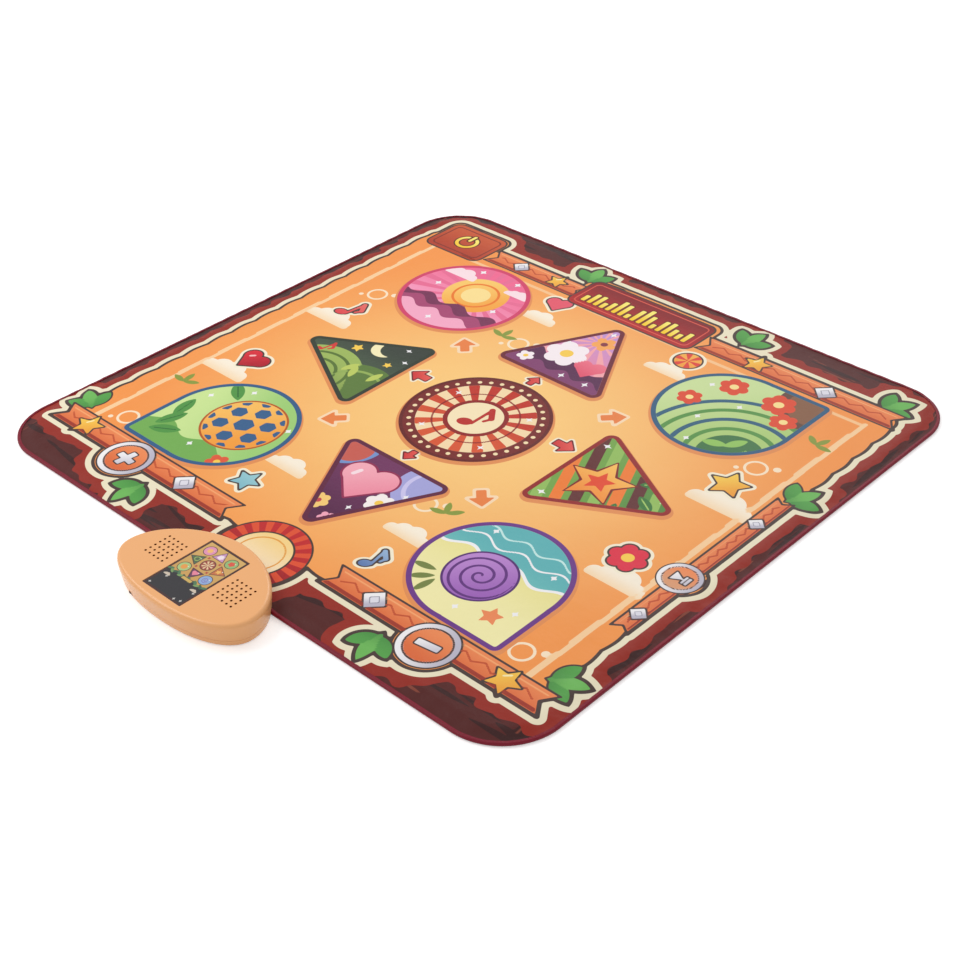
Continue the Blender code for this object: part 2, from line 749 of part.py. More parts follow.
def console_top_shell(material):
    """The upper shell: bosses, posts and speaker collars hang from its roof."""
    outside = [console_ring(side_inset(PARTING_Z), PARTING_Z)] + crown_rings(0)
    shell = loft("console_top_shell", outside, material)
    below = PARTING_Z - OVERCUT
    hollow = loft("console_hollow", [console_ring(side_inset(PARTING_Z) + WALL, below)] + crown_rings(WALL))
    boolean(shell, "DIFFERENCE", hollow)
    in_roof = ROOF_LOW + WALL / 2
    boolean(shell, "UNION", rods("bosses", SCREW_SPOTS, BOSS_R, LAND_TOP + GAP, in_roof))
    boolean(shell, "UNION", rods("board_posts", post_spots(), POST_R, MAIN_BOARD_TOP + GAP, in_roof))
    collar_in = SPEAKER_R + GAP
    collar_out = collar_in + COLLAR_T
    collar_low = ROOF_LOW - COLLAR_H
    for name, side in (("left", -1), ("right", 1)):
        outer_wall = [(collar_out, in_roof), (collar_out, collar_low)]
        inner_wall = [(collar_in, collar_low), (collar_in, in_roof)]
        location = (side * SPEAKER_X, SPEAKER_Y, 0)
        collar = turned(name + "_collar", outer_wall + inner_wall, SPEAKER_SIDES, None, location)
        boolean(shell, "UNION", collar)
    tip = GAP + SCREW_L + OVERCUT
    boolean(shell, "DIFFERENCE", rods("boss_bores", SCREW_SPOTS, SCREW_R + GAP, LAND_TOP, tip))
    recess_low = WINDOW_LOW - GAP
    top = CONSOLE_H + OVERCUT
    spot = (0, WINDOW_Y)
    boolean(shell, "DIFFERENCE", plate("window_recess", [window_loop(GAP)], recess_low, top, None, spot))
    ledge = rectangle(WINDOW_W - 2 * WINDOW_LEDGE, WINDOW_D - 2 * WINDOW_LEDGE, WINDOW_TIP_R)
    boolean(shell, "DIFFERENCE", plate("window_opening", [ledge], ROOF_LOW - OVERCUT, top, None, spot))
    grille = rods("grille_holes", grille_spots(), GRILLE_HOLE_R, ROOF_LOW - OVERCUT, top, HOLE_SIDES)
    boolean(shell, "DIFFERENCE", grille)
    smooth(shell)
    return shell


def ear_outline(half_width, door_y, end_y):
    """The door's screw ear, which runs back from the door to a round end."""
    loop = [Vector((half_width, door_y)), Vector((-half_width, door_y))]
    for k in range(TIP_STEPS * 2 + 1):
        turn = math.pi + math.pi * k / (TIP_STEPS * 2)
        loop.append(Vector((0, end_y + half_width)) + half_width * Vector((math.cos(turn), math.sin(turn))))
    return loop


def switch_frame():
    """The switch's place on the side: X along the wall to the left, Y out of it."""
    y, slope = near_rim(-SWITCH_LEFT)
    return Matrix.Translation((-SWITCH_LEFT, y, 0)) @ Matrix.Rotation(math.atan(slope) + math.pi, 4, "Z")


def console_bottom_shell(material):
    """The lower shell: a tray with the battery bay, and a tongue that reaches under the mat's edge."""
    rim_top = PARTING_Z - GAP
    outside = foot_rings() + [console_ring(side_inset(rim_top), rim_top)]
    shell = loft("console_bottom_shell", outside, material)
    inside = [
        console_ring(side_inset(FLOOR_T) + WALL, FLOOR_T),
        console_ring(side_inset(rim_top) + WALL, rim_top + OVERCUT),
    ]
    boolean(shell, "DIFFERENCE", loft("tray_hollow", inside))
    reach = CONSOLE_HALF_W + OVERCUT
    tray_low = (-reach, CONSOLE_Y - CONSOLE_NEAR_DEPTH - OVERCUT, -OVERCUT)
    boolean(shell, "INTERSECT", boxes("tray_reach", [(tray_low, (reach, TRAY_END_Y, PARTING_Z))]))
    boolean(shell, "UNION", plate("tongue", [tongue_outline()], 0, FLOOR_T))
    boolean(shell, "UNION", rods("screw_lands", SCREW_SPOTS, LAND_R, FLOOR_T / 2, LAND_TOP))
    seat = GAP + SCREW_HEAD_H + GAP
    boolean(shell, "DIFFERENCE", rods("screw_seats", SCREW_SPOTS, SCREW_HEAD_R + GAP, -OVERCUT, seat))
    bores = rods("screw_bores", SCREW_SPOTS, SCREW_R + GAP, seat - OVERCUT / 2, LAND_TOP + OVERCUT)
    boolean(shell, "DIFFERENCE", bores)
    ring_x = DOOR_HALF_X + DOOR_RIM
    ring_y = DOOR_HALF_Y + DOOR_RIM
    ring_low = FLOOR_T / 2
    ring = boxes("door_ring", [((-ring_x, BAY_Y - ring_y, ring_low), (ring_x, BAY_Y + ring_y, DOOR_RING_H))])
    boolean(shell, "UNION", ring)
    block_x = EAR_W / 2 + DOOR_RIM
    block_y = EAR_END_Y - DOOR_RIM
    block_high = (block_x, BAY_Y - DOOR_HALF_Y, DOOR_RING_H)
    boolean(shell, "UNION", boxes("ear_block", [((-block_x, block_y, ring_low), block_high)]))
    bay_x = BAY_HALF_X + BAY_WALL
    bay_y = BAY_HALF_Y + BAY_WALL
    bay_high = BAY_TOP + BAY_WALL
    bay = boxes("bay_box", [((-bay_x, BAY_Y - bay_y, DOOR_RING_H / 2), (bay_x, BAY_Y + bay_y, bay_high))])
    boolean(shell, "UNION", bay)
    screw_tip = DOOR_LOW + DOOR_SCREW_L + OVERCUT
    screw_spot = [(0, DOOR_SCREW_Y)]
    boolean(shell, "UNION", rods("door_boss", screw_spot, BOSS_R, DOOR_RING_H / 2, screw_tip + OVERCUT))
    inside_bay = boxes(
        "bay_inside",
        [((-BAY_HALF_X, BAY_Y - BAY_HALF_Y, ring_low), (BAY_HALF_X, BAY_Y + BAY_HALF_Y, BAY_TOP))],
    )
    boolean(shell, "DIFFERENCE", inside_bay)
    recess_x = DOOR_HALF_X + GAP
    recess_y = DOOR_HALF_Y + GAP
    recess = boxes(
        "door_recess", [((-recess_x, BAY_Y - recess_y, -OVERCUT), (recess_x, BAY_Y + recess_y, BAY_LOW))]
    )
    boolean(shell, "DIFFERENCE", recess)
    ear = [ear_outline(EAR_W / 2 + GAP, BAY_Y - DOOR_HALF_Y, EAR_END_Y - GAP)]
    boolean(shell, "DIFFERENCE", plate("ear_recess", ear, -OVERCUT, DOOR_LOW + EAR_T + GAP))
    slots = []
    for side in (-1, 1):
        low_x = side * TAB_X - TAB_W / 2 - GAP
        high_x = side * TAB_X + TAB_W / 2 + GAP
        slot_y = DOOR_HINGE_Y + TAB_L + 2 * GAP
        slots.append(((low_x, DOOR_HINGE_Y - OVERCUT, TAB_LEDGE_T), (high_x, slot_y, DOOR_RING_H + OVERCUT)))
    boolean(shell, "DIFFERENCE", boxes("tab_slots", slots))
    bore_r = DOOR_SCREW_R + DOOR_SCREW_SLACK
    boolean(shell, "DIFFERENCE", rods("door_bore", screw_spot, bore_r, FLOOR_T / 2, screw_tip))
    low_x = -KNOB_W / 2 - SWITCH_TRAVEL - SLOT_SPARE
    high_x = KNOB_W / 2 + SLOT_SPARE
    depth = side_inset(0) + WALL + OVERCUT
    slot_low = KNOB_Z - SLOT_H / 2
    slot = boxes("switch_slot", [((low_x, -depth, slot_low), (high_x, OVERCUT, slot_low + SLOT_H))])
    slot.matrix_world = switch_frame()
    boolean(shell, "DIFFERENCE", slot)
    smooth(shell)
    return shell


def screw(name, head_radius, head_height, shaft_radius, length, material, location):
    """A screw that stands on its head, with its tip up."""
    profile = [
        (0, length),
        (shaft_radius, length),
        (shaft_radius, head_height),
        (head_radius, head_height),
        (head_radius, 0),
        (0, 0),
    ]
    return turned(name, profile, ROD_SIDES, material, location)


def shell_screws(material):
    names = ["near_left_screw", "near_right_screw", "far_left_screw", "far_right_screw"]
    made = []
    for name, (x, y) in zip(names, SCREW_SPOTS):
        made.append(screw(name, SCREW_HEAD_R, SCREW_HEAD_H, SCREW_R, SCREW_L, material, (x, y, GAP)))
    return made


def displays():
    """The window in its recess, the score display under its near third, and the board that carries it."""
    glass = finish("display_window", (0.06, 0.035, 0.03), 0.08)
    board = finish("circuit_board", (0.02, 0.16, 0.05), 0.4)
    dark = finish("score_display", (0.02, 0.02, 0.03), 0.2)
    spot = (0, WINDOW_Y)
    window = plate("display_window", [window_loop(0)], WINDOW_LOW, WINDOW_LOW + WINDOW_T, glass, spot)
    score_high = WINDOW_LOW - GAP
    score_low = score_high - SCORE_T
    score_y = WINDOW_Y - WINDOW_D / 2 + SCORE_BACK
    low = (-SCORE_W / 2, score_y, score_low)
    score = boxes("score_display", [(low, (SCORE_W / 2, score_y + SCORE_D, score_high))], dark)
    half_x = WINDOW_W / 2 - DISPLAY_BOARD_INSET
    half_y = WINDOW_D / 2 - DISPLAY_BOARD_INSET
    board_high = score_low - GAP
    low = (-half_x, WINDOW_Y - half_y, board_high - DISPLAY_BOARD_T)
    carrier = boxes("display_board", [(low, (half_x, WINDOW_Y + half_y, board_high))], board)
    return [window, score, carrier]


def main_board():
    """The main board with its chip, two capacitors and the tail's socket, and the tail itself."""
    board = finish("main_circuit_board", (0.02, 0.16, 0.05), 0.4)
    half_x = MAIN_BOARD_W / 2
    low_y = MAIN_BOARD_Y - MAIN_BOARD_D / 2
    high_y = MAIN_BOARD_Y + MAIN_BOARD_D / 2
    item = boxes("main_board", [((-half_x, low_y, MAIN_BOARD_Z), (half_x, high_y, MAIN_BOARD_TOP))], board)
    seat = MAIN_BOARD_TOP - MAIN_BOARD_T / 2
    chip_low = (-CHIP_W / 2, MAIN_BOARD_Y, seat)
    chip_high = (CHIP_W / 2, MAIN_BOARD_Y + CHIP_W, MAIN_BOARD_TOP + CHIP_T)
    socket_low = (-SOCKET_W / 2, low_y + GAP, seat)
    socket_high = (SOCKET_W / 2, low_y + SOCKET_D, MAIN_BOARD_TOP + SOCKET_H)
    boolean(item, "UNION", boxes("chip_and_socket", [(chip_low, chip_high), (socket_low, socket_high)]))
    spots = [(side * MAIN_BOARD_W / 4, MAIN_BOARD_Y) for side in (-1, 1)]
    boolean(item, "UNION", rods("capacitors", spots, CAPACITOR_R, seat, MAIN_BOARD_TOP + CAPACITOR_H))
    tail_z = MAIN_BOARD_TOP + SOCKET_H / 2
    return [item, flat_tail(low_y, tail_z)]


def flat_tail(socket_y, socket_z):
    """A flat tail from the circuit film's near edge, round the mat's edge and up into the socket."""
    film_z = (FILM_LOW + FILM_TOP) / 2
    start_y = NEAR_EDGE_Y + FILM_MARGIN - GAP
    turn_y = NEAR_EDGE_Y - TAIL_OUT
    path = [Vector((start_y, film_z))]
    bends = [(turn_y, film_z, -90, -180), (turn_y, socket_z, 180, 90)]
    for corner_y, corner_z, first, last in bends:
        inward = 1 if corner_z == film_z else -1
        middle = Vector((corner_y + TAIL_BEND_R, corner_z + inward * TAIL_BEND_R))
        for k in range(TIP_STEPS + 1):
            angle = math.radians(first + (last - first) * k / TIP_STEPS)
            path.append(middle + TAIL_BEND_R * Vector((math.cos(angle), math.sin(angle))))
    path.append(Vector((socket_y, socket_z)))
    shape = bmesh.new()
    near_side = [shape.verts.new((-TAIL_W / 2, point.x, point.y)) for point in path]
    edges = [shape.edges.new(pair) for pair in zip(near_side, near_side[1:])]
    strip = bmesh.ops.extrude_edge_only(shape, edges=edges)
    far_side = [vert for vert in strip["geom"] if isinstance(vert, bmesh.types.BMVert)]
    bmesh.ops.translate(shape, verts=far_side, vec=(TAIL_W, 0, 0))
    material = finish("circuit_tail", (0.62, 0.34, 0.08), 0.35)
    item = place("circuit_tail", finished_mesh("circuit_tail", shape), material)
    wall = item.modifiers.new("thickness", "SOLIDIFY")
    wall.thickness = TAIL_T
    wall.offset = 0
    return item


def speakers():
    """A frame with its magnet under each grille, and the cone inside it."""
    metal = finish("speaker_frame", (0.25, 0.25, 0.26), 0.4, 0.9)
    paper = finish("speaker_cone", (0.03, 0.03, 0.032), 0.8)
    top = ROOF_LOW - GAP
    rim_low = top - SPEAKER_RIM_T
    magnet_top = top - SPEAKER_H + MAGNET_H
    bowl_floor = magnet_top + BASKET_T
    lip = CONE_R + GAP
    frame_profile = [
        (0, bowl_floor),
        (BOWL_R, bowl_floor),
        (lip, rim_low),
        (lip, top),
        (SPEAKER_R, top),
        (SPEAKER_R, rim_low),
        (lip + BASKET_T, rim_low - GAP),
        (MAGNET_R, magnet_top),
        (MAGNET_R, top - SPEAKER_H),
        (0, top - SPEAKER_H),
    ]
    dish_floor = bowl_floor + 2 * GAP
    cone_profile = [
        (0, dish_floor + CONE_T + DUST_CAP_H),
        (CONE_THROAT_R, dish_floor + CONE_T),
        (CONE_R, top),
        (CONE_R, top - CONE_T),
        (CONE_THROAT_R, dish_floor),
        (0, dish_floor),
    ]
    made = []
    for name, side in (("left", -1), ("right", 1)):
        location = (side * SPEAKER_X, SPEAKER_Y, 0)
        made.append(turned(name + "_speaker_frame", frame_profile, SPEAKER_SIDES, metal, location))
        made.append(turned(name + "_speaker_cone", cone_profile, SPEAKER_SIDES, paper, location))
    return made


def battery_cells():
    """Three cells that lie along X, the middle one the other way round."""
    label = finish("battery_cell", (0.03, 0.03, 0.035), 0.35, 0.3)
    shoulder = CELL_L / 2 - CELL_NUB_L
    profile = [
        (0, CELL_L / 2),
        (CELL_NUB_R, CELL_L / 2),
        (CELL_NUB_R, shoulder),
        (CELL_R, shoulder),
        (CELL_R, -CELL_L / 2),
        (0, -CELL_L / 2),
    ]
    made = []
    for name, row in (("near", -1), ("middle", 0), ("far", 1)):
        y = BAY_Y + row * (2 * CELL_R + CELL_SPACE)
        cell = turned(name + "_battery", profile, CELL_SIDES, label, (0, y, BAY_LOW + CELL_R))
        cell.rotation_euler = (0, math.radians(90 if row else -90), 0)
        made.append(cell)
    return made


def battery_contacts():
    """A contact plate at each end of the bay, with a raised cone for each cell."""
    plated = finish("battery_contact", (0.70, 0.70, 0.68), 0.25, 1.0)
    made = []
    wall_x = BAY_HALF_X - GAP
    half_y = BAY_HALF_Y - GAP
    cell_z = BAY_LOW + CELL_R
    low_z = BAY_LOW + CONTACT_MARGIN
    high_z = BAY_TOP - CONTACT_MARGIN
    reach = wall_x - CELL_L / 2 - GAP
    for name, side in (("left", -1), ("right", 1)):
        ends = sorted((side * wall_x, side * (wall_x - CONTACT_T)))
        span = ((ends[0], BAY_Y - half_y, low_z), (ends[1], BAY_Y + half_y, high_z))
        item = boxes(name + "_battery_contact", [span], plated)
        shape = bmesh.new()
        for row in (-1, 0, 1):
            y = BAY_Y + row * (2 * CELL_R + CELL_SPACE)
            middle = Vector((side * (wall_x - CONTACT_T / 2 - (reach - CONTACT_T / 2) / 2), y, cell_z))
            turn = Matrix.Rotation(math.radians(-90 * side), 4, "Y")
            bmesh.ops.create_cone(
                shape,
                cap_ends=True,
                segments=ROD_SIDES,
                radius1=CELL_NUB_R,
                radius2=CELL_NUB_R / 2,
                depth=reach - CONTACT_T / 2,
                matrix=Matrix.Translation(middle) @ turn,
            )
        boolean(item, "UNION", place(name + "_contact_cones", finished_mesh(name, shape)))
        made.append(item)
    return made


def battery_door(shell_material, screw_material):
    """The door, which swings down about its far bottom edge, with its screw."""
    origin = Vector((0, DOOR_HINGE_Y, DOOR_LOW))
    high = DOOR_LOW + DOOR_T
    low_y = -2 * DOOR_HALF_Y
    span = ((-DOOR_HALF_X, low_y, 0), (DOOR_HALF_X, 0, DOOR_T))
    door = boxes("battery_door", [span], shell_material, origin)
    tabs = []
    for side in (-1, 1):
        low = (side * TAB_X - TAB_W / 2, DOOR_HINGE_Y - OVERCUT, high - TAB_T)
        tabs.append((low, (side * TAB_X + TAB_W / 2, DOOR_HINGE_Y + TAB_L, high)))
    boolean(door, "UNION", boxes("door_tabs", tabs))
    door_y = BAY_Y - DOOR_HALF_Y
    ear = [ear_outline(EAR_W / 2, door_y + OVERCUT, EAR_END_Y)]
    boolean(door, "UNION", plate("door_ear", ear, DOOR_LOW, DOOR_LOW + EAR_T))
    step_high = (EAR_W, door_y + 2 * OVERCUT, DOOR_LOW + EAR_T + OVERCUT)
    boolean(door, "DIFFERENCE", boxes("ear_step", [((-EAR_W, door_y, high), step_high)]))
    spot = [(0, DOOR_SCREW_Y)]
    seat = DOOR_LOW + DOOR_SCREW_HEAD_H + GAP
    boolean(door, "DIFFERENCE", rods("ear_seat", spot, DOOR_SCREW_HEAD_R + GAP, -OVERCUT, seat))
    boolean(door, "DIFFERENCE", rods("ear_bore", spot, DOOR_SCREW_R + GAP, 0, DOOR_LOW + EAR_T + OVERCUT))
    fastener = screw(
        "battery_door_screw",
        DOOR_SCREW_HEAD_R,
        DOOR_SCREW_HEAD_H,
        DOOR_SCREW_R,
        DOOR_SCREW_L,
        screw_material,
        (0, DOOR_SCREW_Y, DOOR_LOW),
    )
    return [door, fastener]


def slide_switch(shell_material):
    """The switch body behind the side's slot, and the knob in the slot."""
    body_material = finish("switch_body", (0.03, 0.03, 0.03), 0.5)
    wall_in = side_inset(FLOOR_T) + WALL
    stem_in = -wall_in - 2 * GAP
    low_z = FLOOR_T + GAP
    middle_x = -SWITCH_TRAVEL / 2
    low = (middle_x - SWITCH_BODY_W / 2, stem_in - GAP - SWITCH_BODY_D, low_z)
    high = (middle_x + SWITCH_BODY_W / 2, stem_in - GAP, low_z + SWITCH_BODY_H)
    body = boxes("switch_body", [(low, high)], body_material)
    knob_high = KNOB_PROUD - side_inset(KNOB_Z)
    low = (-KNOB_W / 2, stem_in, KNOB_Z - KNOB_H / 2)
    knob = boxes("switch_knob", [(low, (KNOB_W / 2, knob_high, KNOB_Z + KNOB_H / 2))], shell_material)
    for item in (body, knob):
        item.matrix_world = switch_frame()
    return [body, knob]


def build():
    shell = finish("console_shell", (0.87, 0.46, 0.22), 0.35)
    steel = finish("screw_steel", (0.55, 0.55, 0.56), 0.3, 1.0)
    near_fold = pivot_at("near_fold_axis", (0, -FOLD_Y, -GAP / 2))
    far_fold = pivot_at("far_fold_axis", (0, FOLD_Y, BINDING_TOP + GAP / 2))
    pieces = {**sheets(), **binding()}
    for name, item in pieces.items():
        if name.startswith("near"):
            hang(item, near_fold)
        if name.startswith("far"):
            hang(item, far_fold)
    zone_items = press_zones()
    for name, section, shape, spot in ZONES:
        if section == "near":
            hang(zone_items[name], near_fold)
        if section == "far":
            hang(zone_items[name], far_fold)
    mat_cutters = list(CUTTERS.objects)
    console = [console_top_shell(shell), console_bottom_shell(shell)]
    console += shell_screws(steel) + displays() + main_board() + speakers()
    console += battery_cells() + battery_contacts() + battery_door(shell, steel) + slide_switch(shell)
    console_cutters = [tool for tool in CUTTERS.objects if tool not in mat_cutters]
    for item in console + console_cutters:
        item.location.x += CONSOLE_X
    for item in console:
        hang(item, near_fold)


build()
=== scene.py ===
import json
import math

import bmesh
import bpy
import numpy as np
from mathutils import Matrix, Vector

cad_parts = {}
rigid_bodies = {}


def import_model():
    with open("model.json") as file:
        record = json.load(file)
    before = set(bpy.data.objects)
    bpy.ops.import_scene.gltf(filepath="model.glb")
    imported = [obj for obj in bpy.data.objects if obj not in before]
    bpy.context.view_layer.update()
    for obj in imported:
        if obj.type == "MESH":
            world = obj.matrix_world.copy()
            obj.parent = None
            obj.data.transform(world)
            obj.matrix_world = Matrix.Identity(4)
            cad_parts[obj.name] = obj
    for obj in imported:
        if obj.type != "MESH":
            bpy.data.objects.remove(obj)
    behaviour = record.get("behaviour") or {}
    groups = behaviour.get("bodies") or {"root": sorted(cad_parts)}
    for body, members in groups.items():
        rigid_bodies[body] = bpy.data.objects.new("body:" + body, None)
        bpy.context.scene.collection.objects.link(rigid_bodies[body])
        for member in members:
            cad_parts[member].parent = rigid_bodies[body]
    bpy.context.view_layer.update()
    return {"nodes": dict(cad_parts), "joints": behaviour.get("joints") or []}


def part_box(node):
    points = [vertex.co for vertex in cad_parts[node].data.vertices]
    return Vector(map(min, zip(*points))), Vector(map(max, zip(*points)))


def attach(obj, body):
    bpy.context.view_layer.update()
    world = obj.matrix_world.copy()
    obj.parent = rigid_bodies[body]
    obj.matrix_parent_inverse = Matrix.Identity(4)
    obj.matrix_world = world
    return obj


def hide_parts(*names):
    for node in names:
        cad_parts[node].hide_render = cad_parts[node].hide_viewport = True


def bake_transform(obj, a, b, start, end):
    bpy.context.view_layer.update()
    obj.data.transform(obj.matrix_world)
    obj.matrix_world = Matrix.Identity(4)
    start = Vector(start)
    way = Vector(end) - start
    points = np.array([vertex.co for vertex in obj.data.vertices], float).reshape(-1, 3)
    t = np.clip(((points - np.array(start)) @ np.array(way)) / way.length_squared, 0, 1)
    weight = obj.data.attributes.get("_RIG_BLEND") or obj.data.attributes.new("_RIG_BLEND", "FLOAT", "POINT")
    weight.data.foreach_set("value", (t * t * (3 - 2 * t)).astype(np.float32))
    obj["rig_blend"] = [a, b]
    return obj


# Finish of an electronic dance mat: its printed cover, sewn binding, inner layers and moulded console.
# Metres, +Z up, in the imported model's frame: the console is on the near edge, at -Y.

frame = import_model()
CAD = frame["nodes"]

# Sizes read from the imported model, and the radius of the mat's corners
MAT_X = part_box("far_binding")[1].x
MAT_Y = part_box("far_binding")[1].y
FOLD_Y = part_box("far_cover_sheet")[0].y
COVER_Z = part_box("far_cover_sheet")[1].z
SPACER_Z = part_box("far_spacer_sheet")[0].z
FILM_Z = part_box("far_circuit_film")[0].z
FOAM_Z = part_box("far_foam_pad")[0].z
BASE_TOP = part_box("far_base_fabric")[1].z
CONSOLE_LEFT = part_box("near_left_binding")[1].x
CONSOLE_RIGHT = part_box("near_right_binding")[0].x
CORNER_R = 0.08

# The section that each zone's body hangs on, and the zones' names
PARENT = {joint["child"]: joint["parent"] for joint in frame["joints"]}
ZONES = [name for name in PARENT if name.startswith("step_") or name.endswith("_zone")]

# Grid of the printed cover, and the strip of it that bends at a fold
STEP = 0.002
COVER_INSET = 0.003
FOLD_HALF = 0.006
FOLD_LOW = STEP * round((FOLD_Y - FOLD_HALF) / STEP)
FOLD_HIGH = STEP * round((FOLD_Y + FOLD_HALF) / STEP)

# Sewn edge
TAPE_IN = 0.0046
TAPE_T = 0.0007
TAPE_R = 0.0019
PINCH = 0.46
PINCH_LOW = 0.003
PINCH_HIGH = 0.026


# Small helpers

def srgb(code):
    """A screen colour such as "f4a238" as the linear colour that shaders take."""
    shares = np.array([int(code[k:k + 2], 16) for k in (0, 2, 4)]) / 255
    return np.where(shares <= 0.04045, shares / 12.92, ((shares + 0.055) / 1.055) ** 2.4)


def smoothstep(low, high, value):
    """Nought below low, one above high, and 3 t t - 2 t t t for the share t between."""
    share = np.clip((value - low) / (high - low), 0, 1)
    return share * share * (3 - 2 * share)


def add_object(name, data):
    item = bpy.data.objects.new(name, data)
    bpy.context.scene.collection.objects.link(item)
    return item


def add_mesh(name, points, faces):
    """A smooth piece from points and faces, with its place in its mesh."""
    mesh = bpy.data.meshes.new(name)
    mesh.from_pydata(points, [], faces)
    mesh.validate()
    mesh.shade_smooth()
    return add_object(name, mesh)


def add_attribute(item, name, values, domain="POINT"):
    """An attribute with one number or one colour for each point or face."""
    kind, key = ("FLOAT_COLOR", "color") if np.ndim(values) > 1 else ("FLOAT", "value")
    attribute = item.data.attributes.new(name, kind, domain)
    attribute.data.foreach_set(key, np.asarray(values, np.float32).ravel())


def paint_with(item, material):
    """Gives the piece that material and no other."""
    item.data.materials.clear()
    item.data.materials.append(material)


def fasten(item, material, carrier=None, node=None):
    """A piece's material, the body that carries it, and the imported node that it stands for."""
    paint_with(item, material)
    if carrier:
        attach(item, carrier)
        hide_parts(node)


def bridge(item, side, z=0):
    """The piece bends between the middle section and the near or far one, across the fold's strip."""
    sign = -1 if side == "near" else 1
    start = (0, sign * FOLD_LOW, z)
    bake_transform(item, "middle_section", side + "_section", start=start, end=(0, sign * FOLD_HIGH, z))


def grid_faces(rows, columns, wrap=False):
    """Quads of a grid of points numbered row by row; wrap joins the last column to the first."""
    row, column = np.meshgrid(np.arange(rows - 1), np.arange(columns - (0 if wrap else 1)), indexing="ij")
    here = row * columns
    above = here + columns
    after = (column + 1) % columns
    corners = [here + column, here + after, above + after, above + column]
    return np.stack(corners, -1).reshape(-1, 4)


# Signed distances to plain shapes, positive inside, on arrays of points

def rounded_box(x, y, half_x, half_y, radius):
    """Distance inside a rectangle with round corners."""
    over_x = np.abs(x) - (half_x - radius)
    over_y = np.abs(y) - (half_y - radius)
    outside = np.hypot(np.maximum(over_x, 0), np.maximum(over_y, 0))
    return radius - outside - np.minimum(np.maximum(over_x, over_y), 0)


def mat_depth(x, y):
    """How far a point lies inside the mat's outline."""
    return rounded_box(x, y, MAT_X, MAT_Y, CORNER_R)


def pinch(x, y):
    """Share of its height that a layer keeps: all of it inside, about half at the sewn edge.

    Between the console's shells, which hold the edge flat, it keeps all of it.
    """
    free = 1 - smoothstep(PINCH_LOW, PINCH_HIGH, mat_depth(x, y))
    beside = np.maximum(CONSOLE_LEFT - x, x - CONSOLE_RIGHT)
    held = (1 - smoothstep(-0.002, 0.022, beside)) * (y < 0)
    return 1 - PINCH * free * (1 - held)


# Materials

def plug(tree, socket, value):
    """A wire where value is another node's output, and a plain setting where it isn't."""
    if isinstance(value, bpy.types.NodeSocket):
        tree.links.new(value, socket)
    else:
        socket.default_value = value


def add_node(tree, kind, inputs=None, **settings):
    """A node with those settings, its sockets set or wired by name."""
    node = tree.nodes.new("ShaderNode" + kind)
    for name, value in settings.items():
        setattr(node, name, value)
    for socket, value in (inputs or {}).items():
        plug(tree, node.inputs[socket], value)
    return node


def mixed(tree, share, under, over):
    """The colour under, with the colour over laid on it by share."""
    node = add_node(tree, "Mix", data_type="RGBA")
    sockets = {socket.identifier: socket for socket in node.inputs}
    for key, value in (("Factor_Float", share), ("A_Color", under), ("B_Color", over)):
        plug(tree, sockets[key], value)
    return next(socket for socket in node.outputs if socket.identifier == "Result_Color")


class Finish:
    """A material with one Principled shader, and short ways to add and wire its nodes."""

    def __init__(self, name, colour=(0.5, 0.5, 0.5), roughness=0.5, metallic=0.0):
        self.material = bpy.data.materials.new(name)
        self.material.use_nodes = True
        self.tree = self.material.node_tree
        self.set({"Base Color": (*colour, 1), "Roughness": roughness, "Metallic": metallic})
        self.point = self.add("TexCoord").outputs["Object"]

    def set(self, inputs):
        """Settings or wires of the shader, by its sockets' names."""
        for name, value in inputs.items():
            plug(self.tree, self.tree.nodes["Principled BSDF"].inputs[name], value)

    def add(self, kind, inputs=None, **settings):
        return add_node(self.tree, kind, inputs, **settings)

    def attribute(self, name):
        return self.add("Attribute", attribute_name=name).outputs

    def grain(self, colour, scale, depth, blotch=0.06):
        """Lays the grain on a colour, as the shader's colour and normal."""
        inputs = {"Vector": self.point, "Color": colour, "Scale": scale, "Depth": depth, "Blotch": blotch}
        grain = self.add("Group", inputs, node_tree=GRAIN).outputs
        self.set({"Base Color": grain["Color"], "Normal": grain["Normal"]})
        return grain

    def roughen(self, mask, low, high):
        """Roughness from low to high as the mask goes from 0 to 1."""
        ranged = self.add("MapRange", {"Value": mask, "To Min": low, "To Max": high})
        self.set({"Roughness": ranged.outputs[0]})


def new_group(name, inputs, outputs):
    """An empty shader group: kind and value of its inputs by name, and kind of its outputs by name."""
    tree = bpy.data.node_groups.new(name, "ShaderNodeTree")
    for socket, (kind, value) in inputs.items():
        made = tree.interface.new_socket(socket, in_out="INPUT", socket_type="NodeSocket" + kind)
        made.default_value = value
    for socket, kind in outputs.items():
        tree.interface.new_socket(socket, in_out="OUTPUT", socket_type="NodeSocket" + kind)
    return tree, tree.nodes.new("NodeGroupInput").outputs, tree.nodes.new("NodeGroupOutput").inputs


